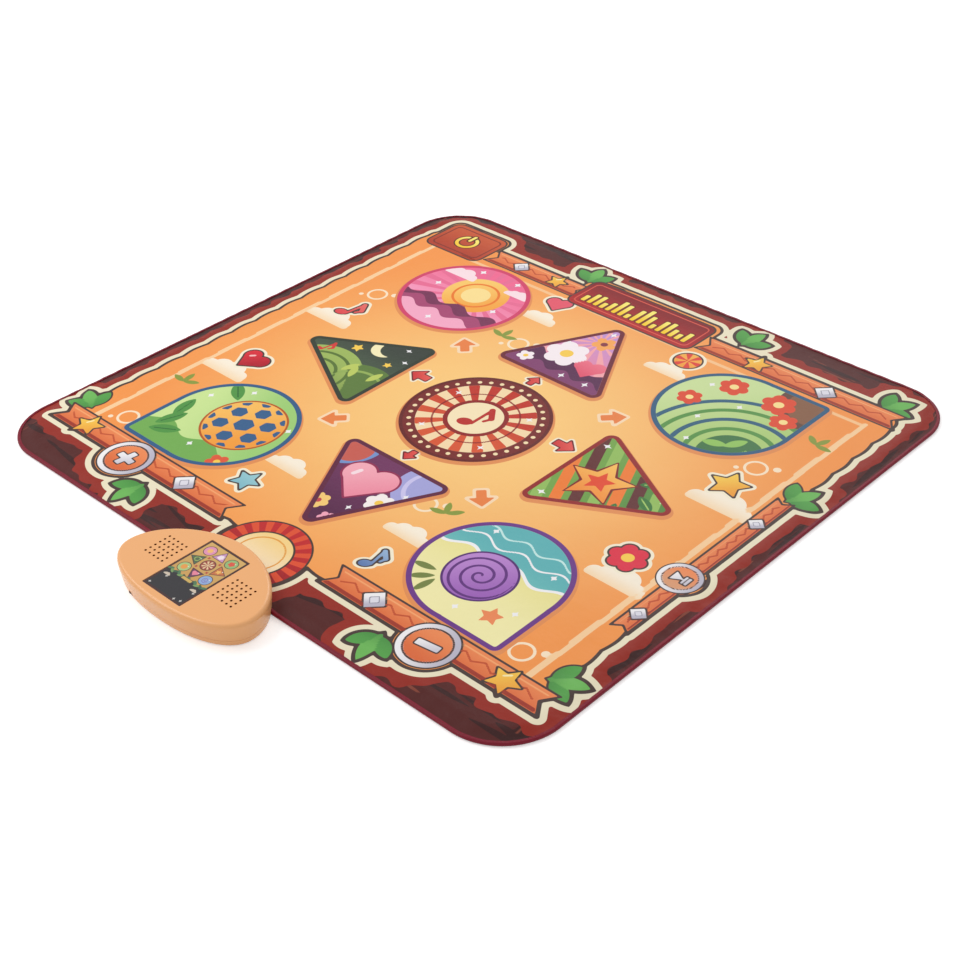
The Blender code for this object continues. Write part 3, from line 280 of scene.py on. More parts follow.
def grain_group():
    """Fine noise as a bump, a mask of it, and a colour lightened and darkened by it."""
    inputs = {
        "Vector": ("Vector", (0, 0, 0)),
        "Color": ("Color", (0.5, 0.5, 0.5, 1)),
        "Scale": ("Float", 400.0),
        "Depth": ("Float", 0.0001),
        "Blotch Scale": ("Float", 12.0),
        "Blotch": ("Float", 0.06),
    }
    tree, came, went = new_group("grain", inputs, {"Color": "Color", "Mask": "Float", "Normal": "Vector"})
    noise = {"Vector": came["Vector"], "Scale": came["Scale"], "Detail": 3}
    fine = add_node(tree, "TexNoise", noise).outputs["Fac"]
    noise = {"Vector": came["Vector"], "Scale": came["Blotch Scale"], "Detail": 4}
    blotch = add_node(tree, "TexNoise", noise).outputs["Fac"]
    centred = add_node(tree, "Math", {0: blotch, 1: 0.5}, operation="SUBTRACT").outputs[0]
    inputs = {0: centred, 1: came["Blotch"], 2: 1}
    share = add_node(tree, "Math", inputs, operation="MULTIPLY_ADD").outputs[0]
    tint = add_node(tree, "VectorMath", {0: came["Color"], "Scale": share}, operation="SCALE")
    bump = add_node(tree, "Bump", {"Height": fine, "Distance": came["Depth"]})
    plug(tree, went["Color"], tint.outputs[0])
    plug(tree, went["Mask"], fine)
    plug(tree, went["Normal"], bump.outputs[0])
    return tree


GRAIN = grain_group()


def grained(
    name, colour, roughness, metallic=0.0, scale=400.0, depth=0.0001, blotch=0.06, spread=0.1, marked=None
):
    """A plain stuff with a fine grain in its bump, roughness and colour.

    Where marked is given, it is an attribute's name and the colour that the attribute brings in.
    """
    made = Finish(name, colour, roughness, metallic)
    tint = (*colour, 1)
    if marked:
        tint = mixed(made.tree, made.attribute(marked[0])["Fac"], tint, (*marked[1], 1))
    grain = made.grain(tint, scale, depth, blotch)
    made.roughen(grain["Mask"], roughness - spread / 2, roughness + spread / 2)
    return made


# Camera, floor and light

LENS = 61.93
CAMERA_AT = Vector((1.273, -1.2818, 1.1819))
CAMERA_LOOK = Vector((-0.57496, 0.58059, -0.57649))
CAMERA_ROLL = math.radians(-2.0)
FLOOR_HALF = 8.0
FLOOR_Z = -0.0006
FLOOR_GLOW = 0.42
FLOOR_GREY = 0.85
WORLD_LIGHT = 0.62


def make_camera():
    """The photograph's view: a level camera along CAMERA_LOOK, then rolled about it."""
    level_right = CAMERA_LOOK.cross(Vector((0, 0, 1))).normalized()
    level_up = level_right.cross(CAMERA_LOOK).normalized()
    right = math.cos(CAMERA_ROLL) * level_right + math.sin(CAMERA_ROLL) * level_up
    up = right.cross(CAMERA_LOOK).normalized()
    turn = Matrix((right, up, -CAMERA_LOOK.normalized())).transposed().to_4x4()
    camera = add_object("camera", bpy.data.cameras.new("camera"))
    camera.data.lens = LENS
    camera.data.sensor_width = 36
    camera.matrix_world = Matrix.Translation(CAMERA_AT) @ turn
    bpy.context.scene.camera = camera


def seen_rays(tree, *others):
    """1 for rays from the camera and rays of the other kinds named, 0 for the rest."""
    path = add_node(tree, "LightPath").outputs
    seen = path["Is Camera Ray"]
    for ray in others:
        seen = add_node(tree, "Math", {0: seen, 1: path[ray]}, operation="MAXIMUM").outputs[0]
    return seen


def make_floor():
    """A white floor: part of its brightness is its own, so that only a faint shadow shows on it."""
    signs = [(-1, -1), (1, -1), (1, 1), (-1, 1)]
    corners = [(FLOOR_HALF * side_x, FLOOR_HALF * side_y, FLOOR_Z) for side_x, side_y in signs]
    floor = add_mesh("floor", corners, [(0, 1, 2, 3)])
    material = bpy.data.materials.new("floor")
    material.use_nodes = True
    tree = material.node_tree
    tree.nodes.remove(tree.nodes["Principled BSDF"])
    seen = seen_rays(tree, "Is Glossy Ray", "Is Transmission Ray")
    strength = add_node(tree, "Math", {0: seen, 1: FLOOR_GLOW}, operation="MULTIPLY").outputs[0]
    glow = add_node(tree, "Emission", {"Strength": strength}).outputs[0]
    paint = add_node(tree, "BsdfDiffuse", {"Color": (FLOOR_GREY, FLOOR_GREY, FLOOR_GREY, 1)}).outputs[0]
    surface = add_node(tree, "AddShader", {0: paint, 1: glow}).outputs[0]
    plug(tree, tree.nodes["Material Output"].inputs["Surface"], surface)
    paint_with(floor, material)


def make_world():
    """Plain white: full strength where it is seen, less as light on the object and in its gloss."""
    world = bpy.data.worlds.new("studio")
    world.use_nodes = True
    tree = world.node_tree
    levels = {"Value": seen_rays(tree, "Is Transmission Ray"), "To Min": WORLD_LIGHT, "To Max": 1}
    sky = tree.nodes["Background"].inputs
    plug(tree, sky["Color"], (1, 1, 1, 1))
    plug(tree, sky["Strength"], add_node(tree, "MapRange", levels).outputs[0])
    bpy.context.scene.world = world


def add_softbox(name, spot, aim, size, power):
    """A soft lamp of that size at spot, turned to aim."""
    lamp = add_object(name, bpy.data.lights.new(name, "AREA"))
    lamp.data.shape = "RECTANGLE"
    lamp.data.size, lamp.data.size_y = size
    lamp.data.energy = power
    lamp.location = spot
    lamp.rotation_mode = "QUATERNION"
    lamp.rotation_quaternion = (Vector(aim) - Vector(spot)).to_track_quat("-Z", "Y")


def make_studio():
    """Camera, floor, surroundings and two lamps."""
    make_camera()
    make_floor()
    make_world()
    add_softbox("left_softbox", (-1.6, -0.9, 2.0), (0, 0, 0), (1.8, 1.8), 25)
    add_softbox("far_softbox", (-0.8, 2.0, 1.8), (0.2, 0, 0), (1.6, 1.2), 13.5)
    bpy.context.scene.view_settings.view_transform = "Standard"


# Flat shapes of the print: each is a function of arrays u and v that gives the depth inside it, in metres

def disc(radius, u=0.0, v=0.0):
    """Radius less distance from (u, v)."""
    return lambda x, y: radius - np.hypot(x - u, y - v)


def band(radius, width):
    """A ring of that middle radius and width."""
    return lambda x, y: width / 2 - np.abs(np.hypot(x, y) - radius)


def box(half_x, half_y, radius=0.002):
    """A rectangle of those half sizes, its corners rounded."""
    return lambda x, y: rounded_box(x, y, half_x, half_y, radius)


def bar(x0, y0, x1, y1, radius):
    """A line with round ends from (x0, y0) to (x1, y1)."""
    length = (x1 - x0) ** 2 + (y1 - y0) ** 2

    def depth(x, y):
        share = np.clip(((x - x0) * (x1 - x0) + (y - y0) * (y1 - y0)) / length, 0, 1)
        return radius - np.hypot(x - x0 - share * (x1 - x0), y - y0 - share * (y1 - y0))
    return depth


def polygon(corners):
    """Least distance to the edges, signed by how often a ray crosses them."""
    def depth(x, y):
        nearest = np.full(np.shape(x), 9.0)
        inside = np.zeros(np.shape(x), bool)
        for (x0, y0), (x1, y1) in zip(corners, corners[1:] + corners[:1]):
            nearest = np.minimum(nearest, -bar(x0, y0, x1, y1, 0)(x, y))
            rise = y1 - y0 if y1 != y0 else 1e-9
            inside ^= ((y0 > y) != (y1 > y)) & (x < x0 + (y - y0) * (x1 - x0) / rise)
        return np.where(inside, nearest, -nearest)
    return depth


def polar(radius, degrees):
    """The point at that distance from the middle and that angle from u."""
    turn = math.radians(degrees)
    return radius * math.cos(turn), radius * math.sin(turn)


def spokes(radii, start):
    """A polygon with its corners at those radii, evenly round the middle."""
    return polygon([polar(radius, start + 360 * k / len(radii)) for k, radius in enumerate(radii)])


def star(points, outer, inner):
    """Corners by turns on two circles, the first straight up."""
    return spokes([outer, inner] * points, 90)


def regular(sides, radius, start=0):
    """Equal sides, with the first corner at the start angle."""
    return spokes([radius] * sides, start)


def leaf(length, width):
    """Where two equal discs overlap: pointed at both ends, along u."""
    radius = (length ** 2 + width ** 2) / (4 * width)
    offset = radius - width / 2
    return both(disc(radius, 0, offset), disc(radius, 0, -offset))


def either(*shapes):
    """All the shapes together: the greatest depth."""
    return lambda x, y: np.maximum.reduce([shape(x, y) for shape in shapes])


def both(*shapes):
    """Where the shapes overlap: the least depth."""
    return lambda x, y: np.minimum.reduce([shape(x, y) for shape in shapes])


def without(shape, hole):
    """The shape where the hole isn't."""
    return lambda x, y: np.minimum(shape(x, y), -hole(x, y))


def grow(shape, distance):
    """The shape with its edge that much further out."""
    return lambda x, y: shape(x, y) + distance


def moved(shape, u, v, degrees=0):
    """The shape turned and set at (u, v)."""
    c = math.cos(math.radians(degrees))
    s = math.sin(math.radians(degrees))
    return lambda x, y: shape((x - u) * c + (y - v) * s, (y - v) * c - (x - u) * s)


def petals(count, radius, petal):
    """A flower of round petals round its middle."""
    around = [disc(petal, *polar(radius, 360 * k / count)) for k in range(count)]
    return either(disc(radius * 0.5), *around)


def heart(size):
    """Two round lobes on a kite."""
    lobes = [disc(size * 0.29, side * size * 0.25, size * 0.18) for side in (-1, 1)]
    point = [(-size * 0.505, size * 0.05), (0, -size * 0.5), (size * 0.505, size * 0.05), (0, size * 0.3)]
    return either(*lobes, polygon(point))


def cloud(size):
    """Puffs of unlike sizes on a flat underside."""
    puffs = [(-0.42, 0.0, 0.16), (-0.18, 0.1, 0.22), (0.12, 0.14, 0.26), (0.4, 0.02, 0.18)]
    whole = either(*[disc(size * r, size * u, size * v) for u, v, r in puffs])
    base = bar(-size * 0.5, -size * 0.05, size * 0.52, -size * 0.05, size * 0.08)
    return either(both(whole, lambda x, y: y + size * 0.07), base)


def note(size):
    """A quaver: an oval head, a stem and a flag."""
    head = moved(lambda x, y: disc(size * 0.2)(x, y * 1.35), -size * 0.14, -size * 0.34, 20)
    stem = bar(size * 0.04, -size * 0.3, size * 0.04, size * 0.42, size * 0.045)
    flag = bar(size * 0.04, size * 0.42, size * 0.28, size * 0.12, size * 0.075)
    return either(head, stem, flag, bar(size * 0.28, size * 0.12, size * 0.2, -size * 0.06, size * 0.045))


def arrow(size):
    """A plain arrow along +u."""
    upper = [(size * 0.5, 0), (0, size * 0.46), (0, size * 0.18), (-size * 0.45, size * 0.18)]
    return polygon(upper + [(x, -y) for x, y in reversed(upper[1:])])


def wave(level, height, length, phase=0.0):
    """All that lies under a sine line along u."""
    turn = 2 * math.pi / length
    steep = math.sqrt(1 + (height * turn) ** 2 / 2)
    return lambda x, y: (level + height * np.sin(turn * x + phase) - y) / steep


def crest(level, height, length, phase, half):
    """A line of that half width along the same sine line."""
    under = wave(level, height, length, phase)
    return lambda x, y: half - np.abs(under(x, y))


def zigzag(height, length, half):
    """A zigzag line along u: its height above u follows a triangle wave."""
    slant = math.cos(math.atan2(4 * height, length))

    def depth(x, y):
        lap = x / length
        line = height * (4 * np.abs(lap - np.floor(lap + 0.5)) - 1)
        return half - np.abs(y - line) * slant
    return depth


def rays(count, share=0.5):
    """Every other sector round the middle."""
    def depth(x, y):
        sector = np.degrees(np.arctan2(y, x)) * count / 360
        off = np.abs(sector - np.round(sector))
        return np.hypot(x, y) * np.sin((share / 2 - off) * 2 * math.pi / count)
    return depth


def spiral(pitch, width, turns):
    """A line that winds out from the middle by pitch a turn."""
    def depth(x, y):
        radius = np.hypot(x, y)
        lap = radius / pitch - np.arctan2(y, x) / (2 * math.pi)
        line = width / 2 - np.abs(lap - np.round(lap)) * pitch
        return np.minimum(line, pitch * turns - radius)
    return depth


class Print:
    """Inks on a grid of points, in levels laid over each other.

    Each level holds, at each point, the colour of the shape that the point lies deepest in, and that depth.
    The material draws the edge where the depth is nought, so that edges are finer than the grid. Depths
    count as far as deepest, on either side of the edge.
    """

    def __init__(self, across, along, levels, deepest=0.008):
        self.across = across
        self.along = along
        self.deepest = deepest
        self.x, self.y = np.meshgrid(across, along)
        self.depths = np.full((levels, *self.x.shape), -deepest)
        self.inks = np.zeros((levels, *self.x.shape, 3))
        self.ground = np.ones((*self.x.shape, 4))

    def paint(
        self, level, shape, colour, at=(0, 0), turn=0, clip=None, to=None, along=(0, 1), span=0.1, reach=0.13
    ):
        """Lays a shape on a level, no further than reach from its place, and inside clip where it is given.

        A second colour comes in slowly over span, in the direction along.
        """
        rows = slice(*np.searchsorted(self.along, (at[1] - reach, at[1] + reach)))
        columns = slice(*np.searchsorted(self.across, (at[0] - reach, at[0] + reach)))
        x = self.x[rows, columns]
        y = self.y[rows, columns]
        depth = moved(shape, *at, turn)(x, y)
        if clip is not None:
            depth = np.minimum(depth, clip[rows, columns])
        held = self.depths[level - 1, rows, columns]
        seen = depth > held
        held[seen] = depth[seen]
        ink = srgb(colour)
        if to is not None:
            way = (x[seen] - at[0]) * along[0] + (y[seen] - at[1]) * along[1]
            share = smoothstep(-span / 2, span / 2, way)[:, None]
            ink = ink * (1 - share) + srgb(to) * share
        self.inks[level - 1, rows, columns][seen] = ink

    def edged(self, level, shape, colour, line, width, at=(0, 0), turn=0, **shade):
        """A shape with a line round it, on two levels."""
        self.paint(level, grow(shape, width), line, at, turn, reach=shade.get("reach", 0.13))
        self.paint(level + 1, shape, colour, at, turn, **shade)

    def sticker(self, shape, colour, line, at, turn=0, halo=0.0065, width=0.0025, **shade):
        """A shape with a line and a pale halo round it."""
        self.paint(3, grow(shape, halo), PALE, at, turn)
        self.edged(4, shape, colour, line, width, at, turn, **shade)

    def attributes(self):
        """One colour a level, with the depth as its alpha: a half at the shape's edge."""
        share = np.clip(0.5 + self.depths / (2 * self.deepest), 0, 1)
        made = {"ground": self.ground}
        for number, (ink, alpha) in enumerate(zip(self.inks, share), 1):
            made[f"print_{number}"] = np.concatenate((ink, alpha[..., None]), -1)
        return made


# Colours of the print, as seen on a screen
PALE = "faf0d6"
CREAM = "f0e6c8"
DARK = "4c3c38"
BROWN = "562220"
BROWN_DARK = "3c1c1c"
BROWN_LIGHT = "864232"
RUST = "982c20"
RIBBON = "e06c3c"
RIBBON_LIGHT = "f28e58"
RIBBON_DARK = "a23a2a"
GREEN = "70ba5c"
GREEN_DARK = "3e803e"
GOLD = "fcd054"
AMBER = "f4a238"
RED = "ce2c32"
WHITE = "f6f4f6"
GREY = "bebaca"
PRINT_LEVELS = 11

# Places in the print
PLUS_AT = (-0.272, -0.36)
MINUS_AT = (0.272, -0.36)
PLAY_AT = (0.404, -0.088)
START_AT = (-0.355, 0.352)
SIGN_AT = (-0.01, 0.352)
SUN_AT = (0.0085, -0.376)
SUN_R = 0.064
BUTTON_R = 0.0385
PLAY_R = 0.0285
FIELD_Y = 0.001
FIELD_HALF_X = 0.418
FIELD_HALF_Y = 0.358
FIELD_R = 0.03
SCALLOP_X = 0.093
SCALLOP_Y = 0.088
SCALLOP_H = 0.003
RIBBONS = [
    (-0.255, -0.345, 0, 0.178, 0.0195),
    (0.266, -0.345, 0, 0.168, 0.0195),
    (-0.205, 0.346, 0, 0.092, 0.0185),
    (0.262, 0.347, 0, 0.158, 0.0185),
    (0.4085, -0.045, 90, 0.158, 0.012),
]
GOLD_STARS = [
    (-0.372, -0.346, 12, 0.022), (0.372, -0.346, -12, 0.022),
    (0.196, 0.348, 8, 0.02), (-0.165, 0.348, -8, 0.017),
]
GEMS = [
    (-0.172, -0.345, 0.017), (0.172, -0.345, 0.017), (-0.236, 0.347, 0.014), (0.306, 0.348, 0.016),
    (0.4085, 0.052, 0.0115), (0.4085, -0.168, 0.0115),
]
PALMETTES = [
    (-0.208, -0.384, 262), (0.222, -0.384, 278), (-0.408, -0.316, 150), (0.408, -0.312, 24),
    (-0.13, 0.38, 100), (0.15, 0.38, 80), (0.384, 0.366, 52), (0.41, 0.116, 62),
]
RED_ARROWS = [
    (-0.129, 0.027, 180, 0.032), (-0.004, 0.1165, 90, 0.022),
    (0.129, 0.027, 0, 0.032), (-0.004, -0.1165, 270, 0.022),
]
ORANGE_ARROWS = [(-0.14, 0.124, 135), (0.134, 0.118, 45), (0.128, -0.124, 315), (-0.14, -0.122, 225)]
CLOUDS = [
    (-0.344, 0.052, 0.07), (-0.104, -0.238, 0.058), (-0.116, 0.246, 0.056), (0.112, 0.252, 0.056),
    (0.352, 0.052, 0.078), (-0.346, -0.14, 0.07), (0.352, -0.142, 0.07), (0.112, -0.238, 0.058),
]
BUBBLES = [
    (-0.34, 0.146), (0.34, 0.146), (0.355, -0.3), (-0.348, -0.3), (-0.086, 0.176), (0.086, -0.178),
]
LEAF_SPOTS = [(-0.118, 0.176, 0), (0.118, -0.176, 30), (0.366, 0.236, -20), (-0.364, -0.196, 10)]


def fan(count, length, width, out):
    """Leaves that spread from one stem, the middle one along +u, the outer ones smaller."""
    sizes = [(1 - 0.004 * abs(tilt), tilt) for tilt in np.linspace(-48, 48, count)]
    return [moved(leaf(length * size, width), *polar(out, tilt), tilt) for size, tilt in sizes]


PALMETTE = fan(3, 0.052, 0.022, 0.019)


def ribbon_shape(half_x, half_y):
    """A band whose ends are cut to a notch."""
    notch = half_y * 0.7
    upper = [(-half_x, half_y), (half_x, half_y), (half_x - notch, 0)]
    return polygon(upper + [(half_x, -half_y), (-half_x, -half_y), (notch - half_x, 0)])


def mat_print(across, along):
    """The whole mat's picture: ground, border, field and zones."""
    made = Print(across, along, PRINT_LEVELS)
    outline = border_outline(made)
    draw_ground(made, outline)
    draw_border(made, outline)
    for place in RIBBONS:
        draw_ribbon(made, *place)
    draw_ornaments(made)
    draw_field(made)
    pictures = (
        draw_far_left, draw_far_middle, draw_far_right, draw_middle_left, draw_centre,
        draw_middle_right, draw_near_left, draw_near_middle, draw_near_right,
    )
    for draw in pictures + (draw_buttons, draw_start):
        draw(made)
    return made


def border_outline(made):
    """Depth inside the field with all that stands out of it, and with slow scallops along its sides."""
    x, y = made.x, made.y
    side = np.abs(x) > np.abs(y) * 1.1
    scallops = np.abs(np.cos(math.pi * 2 * np.where(side, y / SCALLOP_Y, x / SCALLOP_X)))
    depth = rounded_box(x, y - FIELD_Y, FIELD_HALF_X, FIELD_HALF_Y, FIELD_R) + SCALLOP_H * (scallops - 0.5)
    parts = [
        moved(disc(BUTTON_R + 0.002), *PLUS_AT),
        moved(disc(BUTTON_R + 0.002), *MINUS_AT),
        moved(disc(PLAY_R + 0.0025), *PLAY_AT),
        moved(box(0.058, 0.044, 0.016), *START_AT),
        moved(box(0.118, 0.044, 0.016), *SIGN_AT),
        moved(disc(SUN_R + 0.001), *SUN_AT),
    ]
    for u, v, turn, half_x, half_y in RIBBONS:
        parts.append(moved(ribbon_shape(half_x, half_y), u, v, turn))
    for u, v, turn, size in GOLD_STARS:
        parts.append(moved(star(5, size * 1.15, size * 0.6), u, v, turn))
    for u, v, turn in PALMETTES:
        parts += [moved(blade, u, v, turn) for blade in PALMETTE]
    return np.maximum.reduce([depth] + [part(x, y) for part in parts])


def draw_ground(made, outline):
    """The field, lighter in its middle, and a dark brown ground with long streaks round it."""
    far_off = np.hypot(made.x / 0.43, made.y / 0.4)
    share = smoothstep(0.15, 1.15, far_off)[..., None]
    field = srgb("ffce80") * (1 - share) + srgb("f89a4e") * share
    inside = (outline > -0.001)[..., None]
    made.ground[..., :3] = np.where(inside, field, srgb(BROWN))
    random = np.random.default_rng(5)
    for _ in range(170):
        side = random.integers(4)
        place = random.uniform(-0.44, 0.44)
        length = random.uniform(0.03, 0.13)
        width = random.uniform(0.0024, 0.0095)
        tone = BROWN_LIGHT if width < 0.0038 else BROWN_DARK
        tilt = random.normal(0, 5)
        if side < 2:
            spot, turn = (place, (-1, 1)[side] * random.uniform(0.378, 0.428)), tilt
        else:
            spot, turn = ((-1, 1)[side - 2] * random.uniform(0.422, 0.452), place), 90 + tilt
        made.paint(1, leaf(length, width), tone, spot, turn)


def draw_border(made, outline):
    """Rust, cream and dark lines that follow the outline from outside."""
    x, y = made.x, made.y
    rough = 0.004 * np.sin(x * 95 + 2 * np.sin(y * 60)) * np.cos(y * 80 + x * 30)
    rough += 0.002 * np.sin(x * 210 - y * 170)
    whole = {"reach": 1}
    made.paint(2, lambda *_: np.minimum(outline + 0.025 + rough, -outline - 0.004), RUST, **whole)
    made.paint(3, lambda *_: np.minimum(outline + 0.011, -outline - 0.001), CREAM, **whole)
    made.paint(4, lambda *_: np.minimum(outline + 0.0034, 0.0012 - outline), DARK, **whole)


def draw_ribbon(made, u, v, turn, half_x, half_y):
    """A ribbon in two oranges with a dark fold along its lower side and a zigzag along its middle."""
    shape = ribbon_shape(half_x, half_y)
    place = {"at": (u, v), "turn": turn, "reach": half_x + 0.03}
    up = polar(1, turn + 90)
    made.paint(6, grow(shape, 0.0012), DARK, **place)
    made.paint(7, grow(shape, -0.0018), RIBBON, to=RIBBON_LIGHT, along=up, span=half_y * 2.4, **place)
    inner = grow(shape, -0.0026)
    fold = moved(box(1, half_y * 0.5, 0.0001), 0, -half_y * 1.08)
    shine = moved(box(1, 0.0011, 0.0001), 0, half_y * 0.62)
    teeth = moved(zigzag(half_y * 0.22, half_y * 1.5, 0.0013), 0, half_y * 0.08)
    made.paint(8, both(inner, fold), RIBBON_DARK, **place)
    made.paint(8, both(grow(inner, -0.002), shine), "fcb076", **place)
    made.paint(8, both(grow(inner, -0.004), teeth), "c65430", **place)


def draw_ornaments(made):
    """Leaves in threes, gold stars, pale gems, and a half sun behind the console."""
    for u, v, turn in PALMETTES:
        for number, blade in enumerate(PALMETTE):
            tone = GREEN if number == 1 else "58a44e"
            shade = {"to": tone, "along": polar(1, turn), "span": 0.05}
            made.paint(4, grow(blade, 0.0012), DARK, (u, v), turn)
            made.paint(5, grow(blade, -0.0014), GREEN_DARK, (u, v), turn, **shade)
    for u, v, turn, size in GOLD_STARS:
        shade = {"to": AMBER, "along": (0.7, -0.7), "span": 0.05}
        made.edged(8, star(5, size, size * 0.48), GOLD, DARK, 0.0026, (u, v), turn, **shade)
        gleam = bar(-size * 0.3, size * 0.16, -size * 0.06, size * 0.5, 0.0014)
        made.paint(10, gleam, "fff0b4", (u, v), turn)
    for u, v, size in GEMS:
        shade = {"to": GREY, "along": (0.7, -0.7), "span": size}
        made.edged(8, regular(4, size), WHITE, DARK, 0.0024, (u, v), **shade)
        made.paint(10, regular(4, size * 0.5), "9694a4", (u, v))
        made.paint(11, regular(4, size * 0.4), "e2e0ea", (u, v))
    sun = {"at": SUN_AT, "reach": 0.09}
    made.paint(6, disc(SUN_R), DARK, **sun)
    made.paint(7, disc(SUN_R - 0.0025), "c42c2e", to="961e26", along=(0, -1), **sun)
    made.paint(8, both(rays(20), disc(SUN_R - 0.0025)), "e25434", **sun)
    made.edged(9, disc(0.04), PALE, DARK, 0.0026, to="fad68c", along=(0, 1), span=0.08, **sun)
    made.paint(11, band(0.031, 0.0024), "e8a046", **sun)
    draw_sign(made)


def draw_sign(made):
    """A red panel with a row of yellow level bars."""
    made.edged(8, box(0.11, 0.037, 0.013), "b62426", DARK, 0.003, SIGN_AT, to="841a20", span=0.08)
    made.paint(10, without(box(0.104, 0.031, 0.009), box(0.1018, 0.0288, 0.007)), "e25a4a", SIGN_AT)
    for number in range(17):
        height = 0.01 + 0.034 * abs(math.sin(number * 0.83 + 0.4)) * (1 - abs(number - 8) / 17)
        spot = (SIGN_AT[0] + (number - 8) * 0.0114, SIGN_AT[1] - 0.0225 + height / 2)
        made.paint(10, box(0.0052, height / 2 + 0.0016, 0.0022), "6e241a", spot)
        made.paint(11, box(0.0036, height / 2, 0.0015), "fcce28", spot, to="ffee78", span=0.03)


def draw_field(made):
    """Peach lines down both sides, clouds and rings, arrows, and small stickers."""
    rail = either(*[box(0.0042, 0.027, 0.004), moved(box(0.0034, 0.02, 0.003), 0.0014, 0.04)])
    for side in (-1, 1):
        for number in range(9):
            made.paint(2, rail, "fdd2a0", (side * 0.386, number * 0.07 - 0.3))
    made.paint(2, box(0.386, 0.003, 0.002), "fcc892", (0, 0.313), reach=0.4)
    for u, v, size in CLOUDS:
        shade = {"to": "fcdaac", "along": (0, -1), "span": size * 0.5}
        made.paint(2, cloud(size), "fef2de", (u, v), **shade)
    for u, v in BUBBLES:
        made.paint(2, band(0.014, 0.0036), "fee8c8", (u, v))
        made.paint(2, disc(0.0052), "fee8c8", (u + 0.022, v + 0.014))
        made.paint(2, disc(0.0036), "fee8c8", (u - 0.02, v - 0.014))
    for u, v, turn, size in RED_ARROWS:
        shade = {"halo": 0.0046, "width": 0.002, "to": "ec6058", "along": (0.7, 0.7), "span": 0.04}
        made.sticker(arrow(size), RED, "6e1e26", (u, v), turn, **shade)
    for u, v, turn in ORANGE_ARROWS:
        made.edged(3, arrow(0.036), "ee8446", "fedeb8", 0.0042, (u, v), turn)
    draw_stickers(made)
    for u, v, turn in LEAF_SPOTS:
        for tilt in (turn + 20, turn + 90, turn + 160):
            across, along = polar(0.012, tilt)
            made.paint(3, leaf(0.024, 0.009), "8c9c42", (u + across, v + along), tilt)


def draw_stickers(made):
    """Small things in the gaps between the zones."""
    slant = {"along": (0.7, -0.7), "span": 0.05}
    made.sticker(note(0.048), "de3442", DARK, (-0.335, 0.092), -8, to="f0786e")
    made.sticker(heart(0.044), "de2c3c", DARK, (-0.336, -0.098), -14, to="aa182c", **slant)
    made.paint(6, bar(-0.012, 0.004, -0.009, 0.009, 0.0022), "fabebe", (-0.336, -0.098), -14)
    made.sticker(star(5, 0.027, 0.0135), GOLD, DARK, (0.336, 0.096), 12, to=AMBER, **slant)
    made.sticker(petals(6, 0.0155, 0.0095), "e2324a", DARK, (0.336, -0.098))
    made.paint(6, disc(0.008), GOLD, (0.336, -0.098))
    made.sticker(heart(0.036), "e85a6e", DARK, (-0.118, 0.296), 14)
    made.sticker(disc(0.019), "f49634", DARK, (0.12, 0.294), to="fabe5a")
    made.paint(6, both(rays(6), disc(0.019)), "e2463c", (0.12, 0.294))
    made.sticker(note(0.04), "607cb2", DARK, (0.118, -0.292), 10, to="9ab8da", span=0.05)
    made.sticker(star(5, 0.021, 0.01), "6eb0c4", DARK, (-0.118, -0.29), -10, to="aad8dc")


# Zones: each has its line, its ground and a picture kept inside the line

TRIANGLE_TURNS = {
    "step_middle_right": 0,
    "step_far_middle": 90,
    "step_middle_left": 180,
    "step_near_middle": 270,
}
TRIANGLE_TIP = 0.012


def zone_shape(name, low, high):
    """The zone's outline: a disc, a disc with one square corner, or a triangle with round corners."""
    half_x = (high.x - low.x) / 2
    half_y = (high.y - low.y) / 2
    if name in ("step_far_left", "step_centre"):
        return disc(half_x)
    if name not in TRIANGLE_TURNS:
        side_x = 1 if name.endswith("right") else -1
        side_y = 1 if "far" in name else -1
        corner = moved(box(half_x / 2, half_y / 2, 0.01), side_x * half_x / 2, side_y * half_y / 2)
        return either(disc(half_x), corner)
    turn = TRIANGLE_TURNS[name]
    height, base = (half_x, half_y) if turn % 180 == 0 else (half_y, half_x)
    corner = math.atan2(2 * height, base) / 2
    inner_base = base - TRIANGLE_TIP / math.tan(corner)
    inner_top = height - TRIANGLE_TIP / math.sin(math.pi / 2 - 2 * corner)
    inner = [(TRIANGLE_TIP - height, inner_base), (inner_top, 0), (TRIANGLE_TIP - height, -inner_base)]
    return moved(grow(polygon(inner), TRIANGLE_TIP), 0, 0, turn)


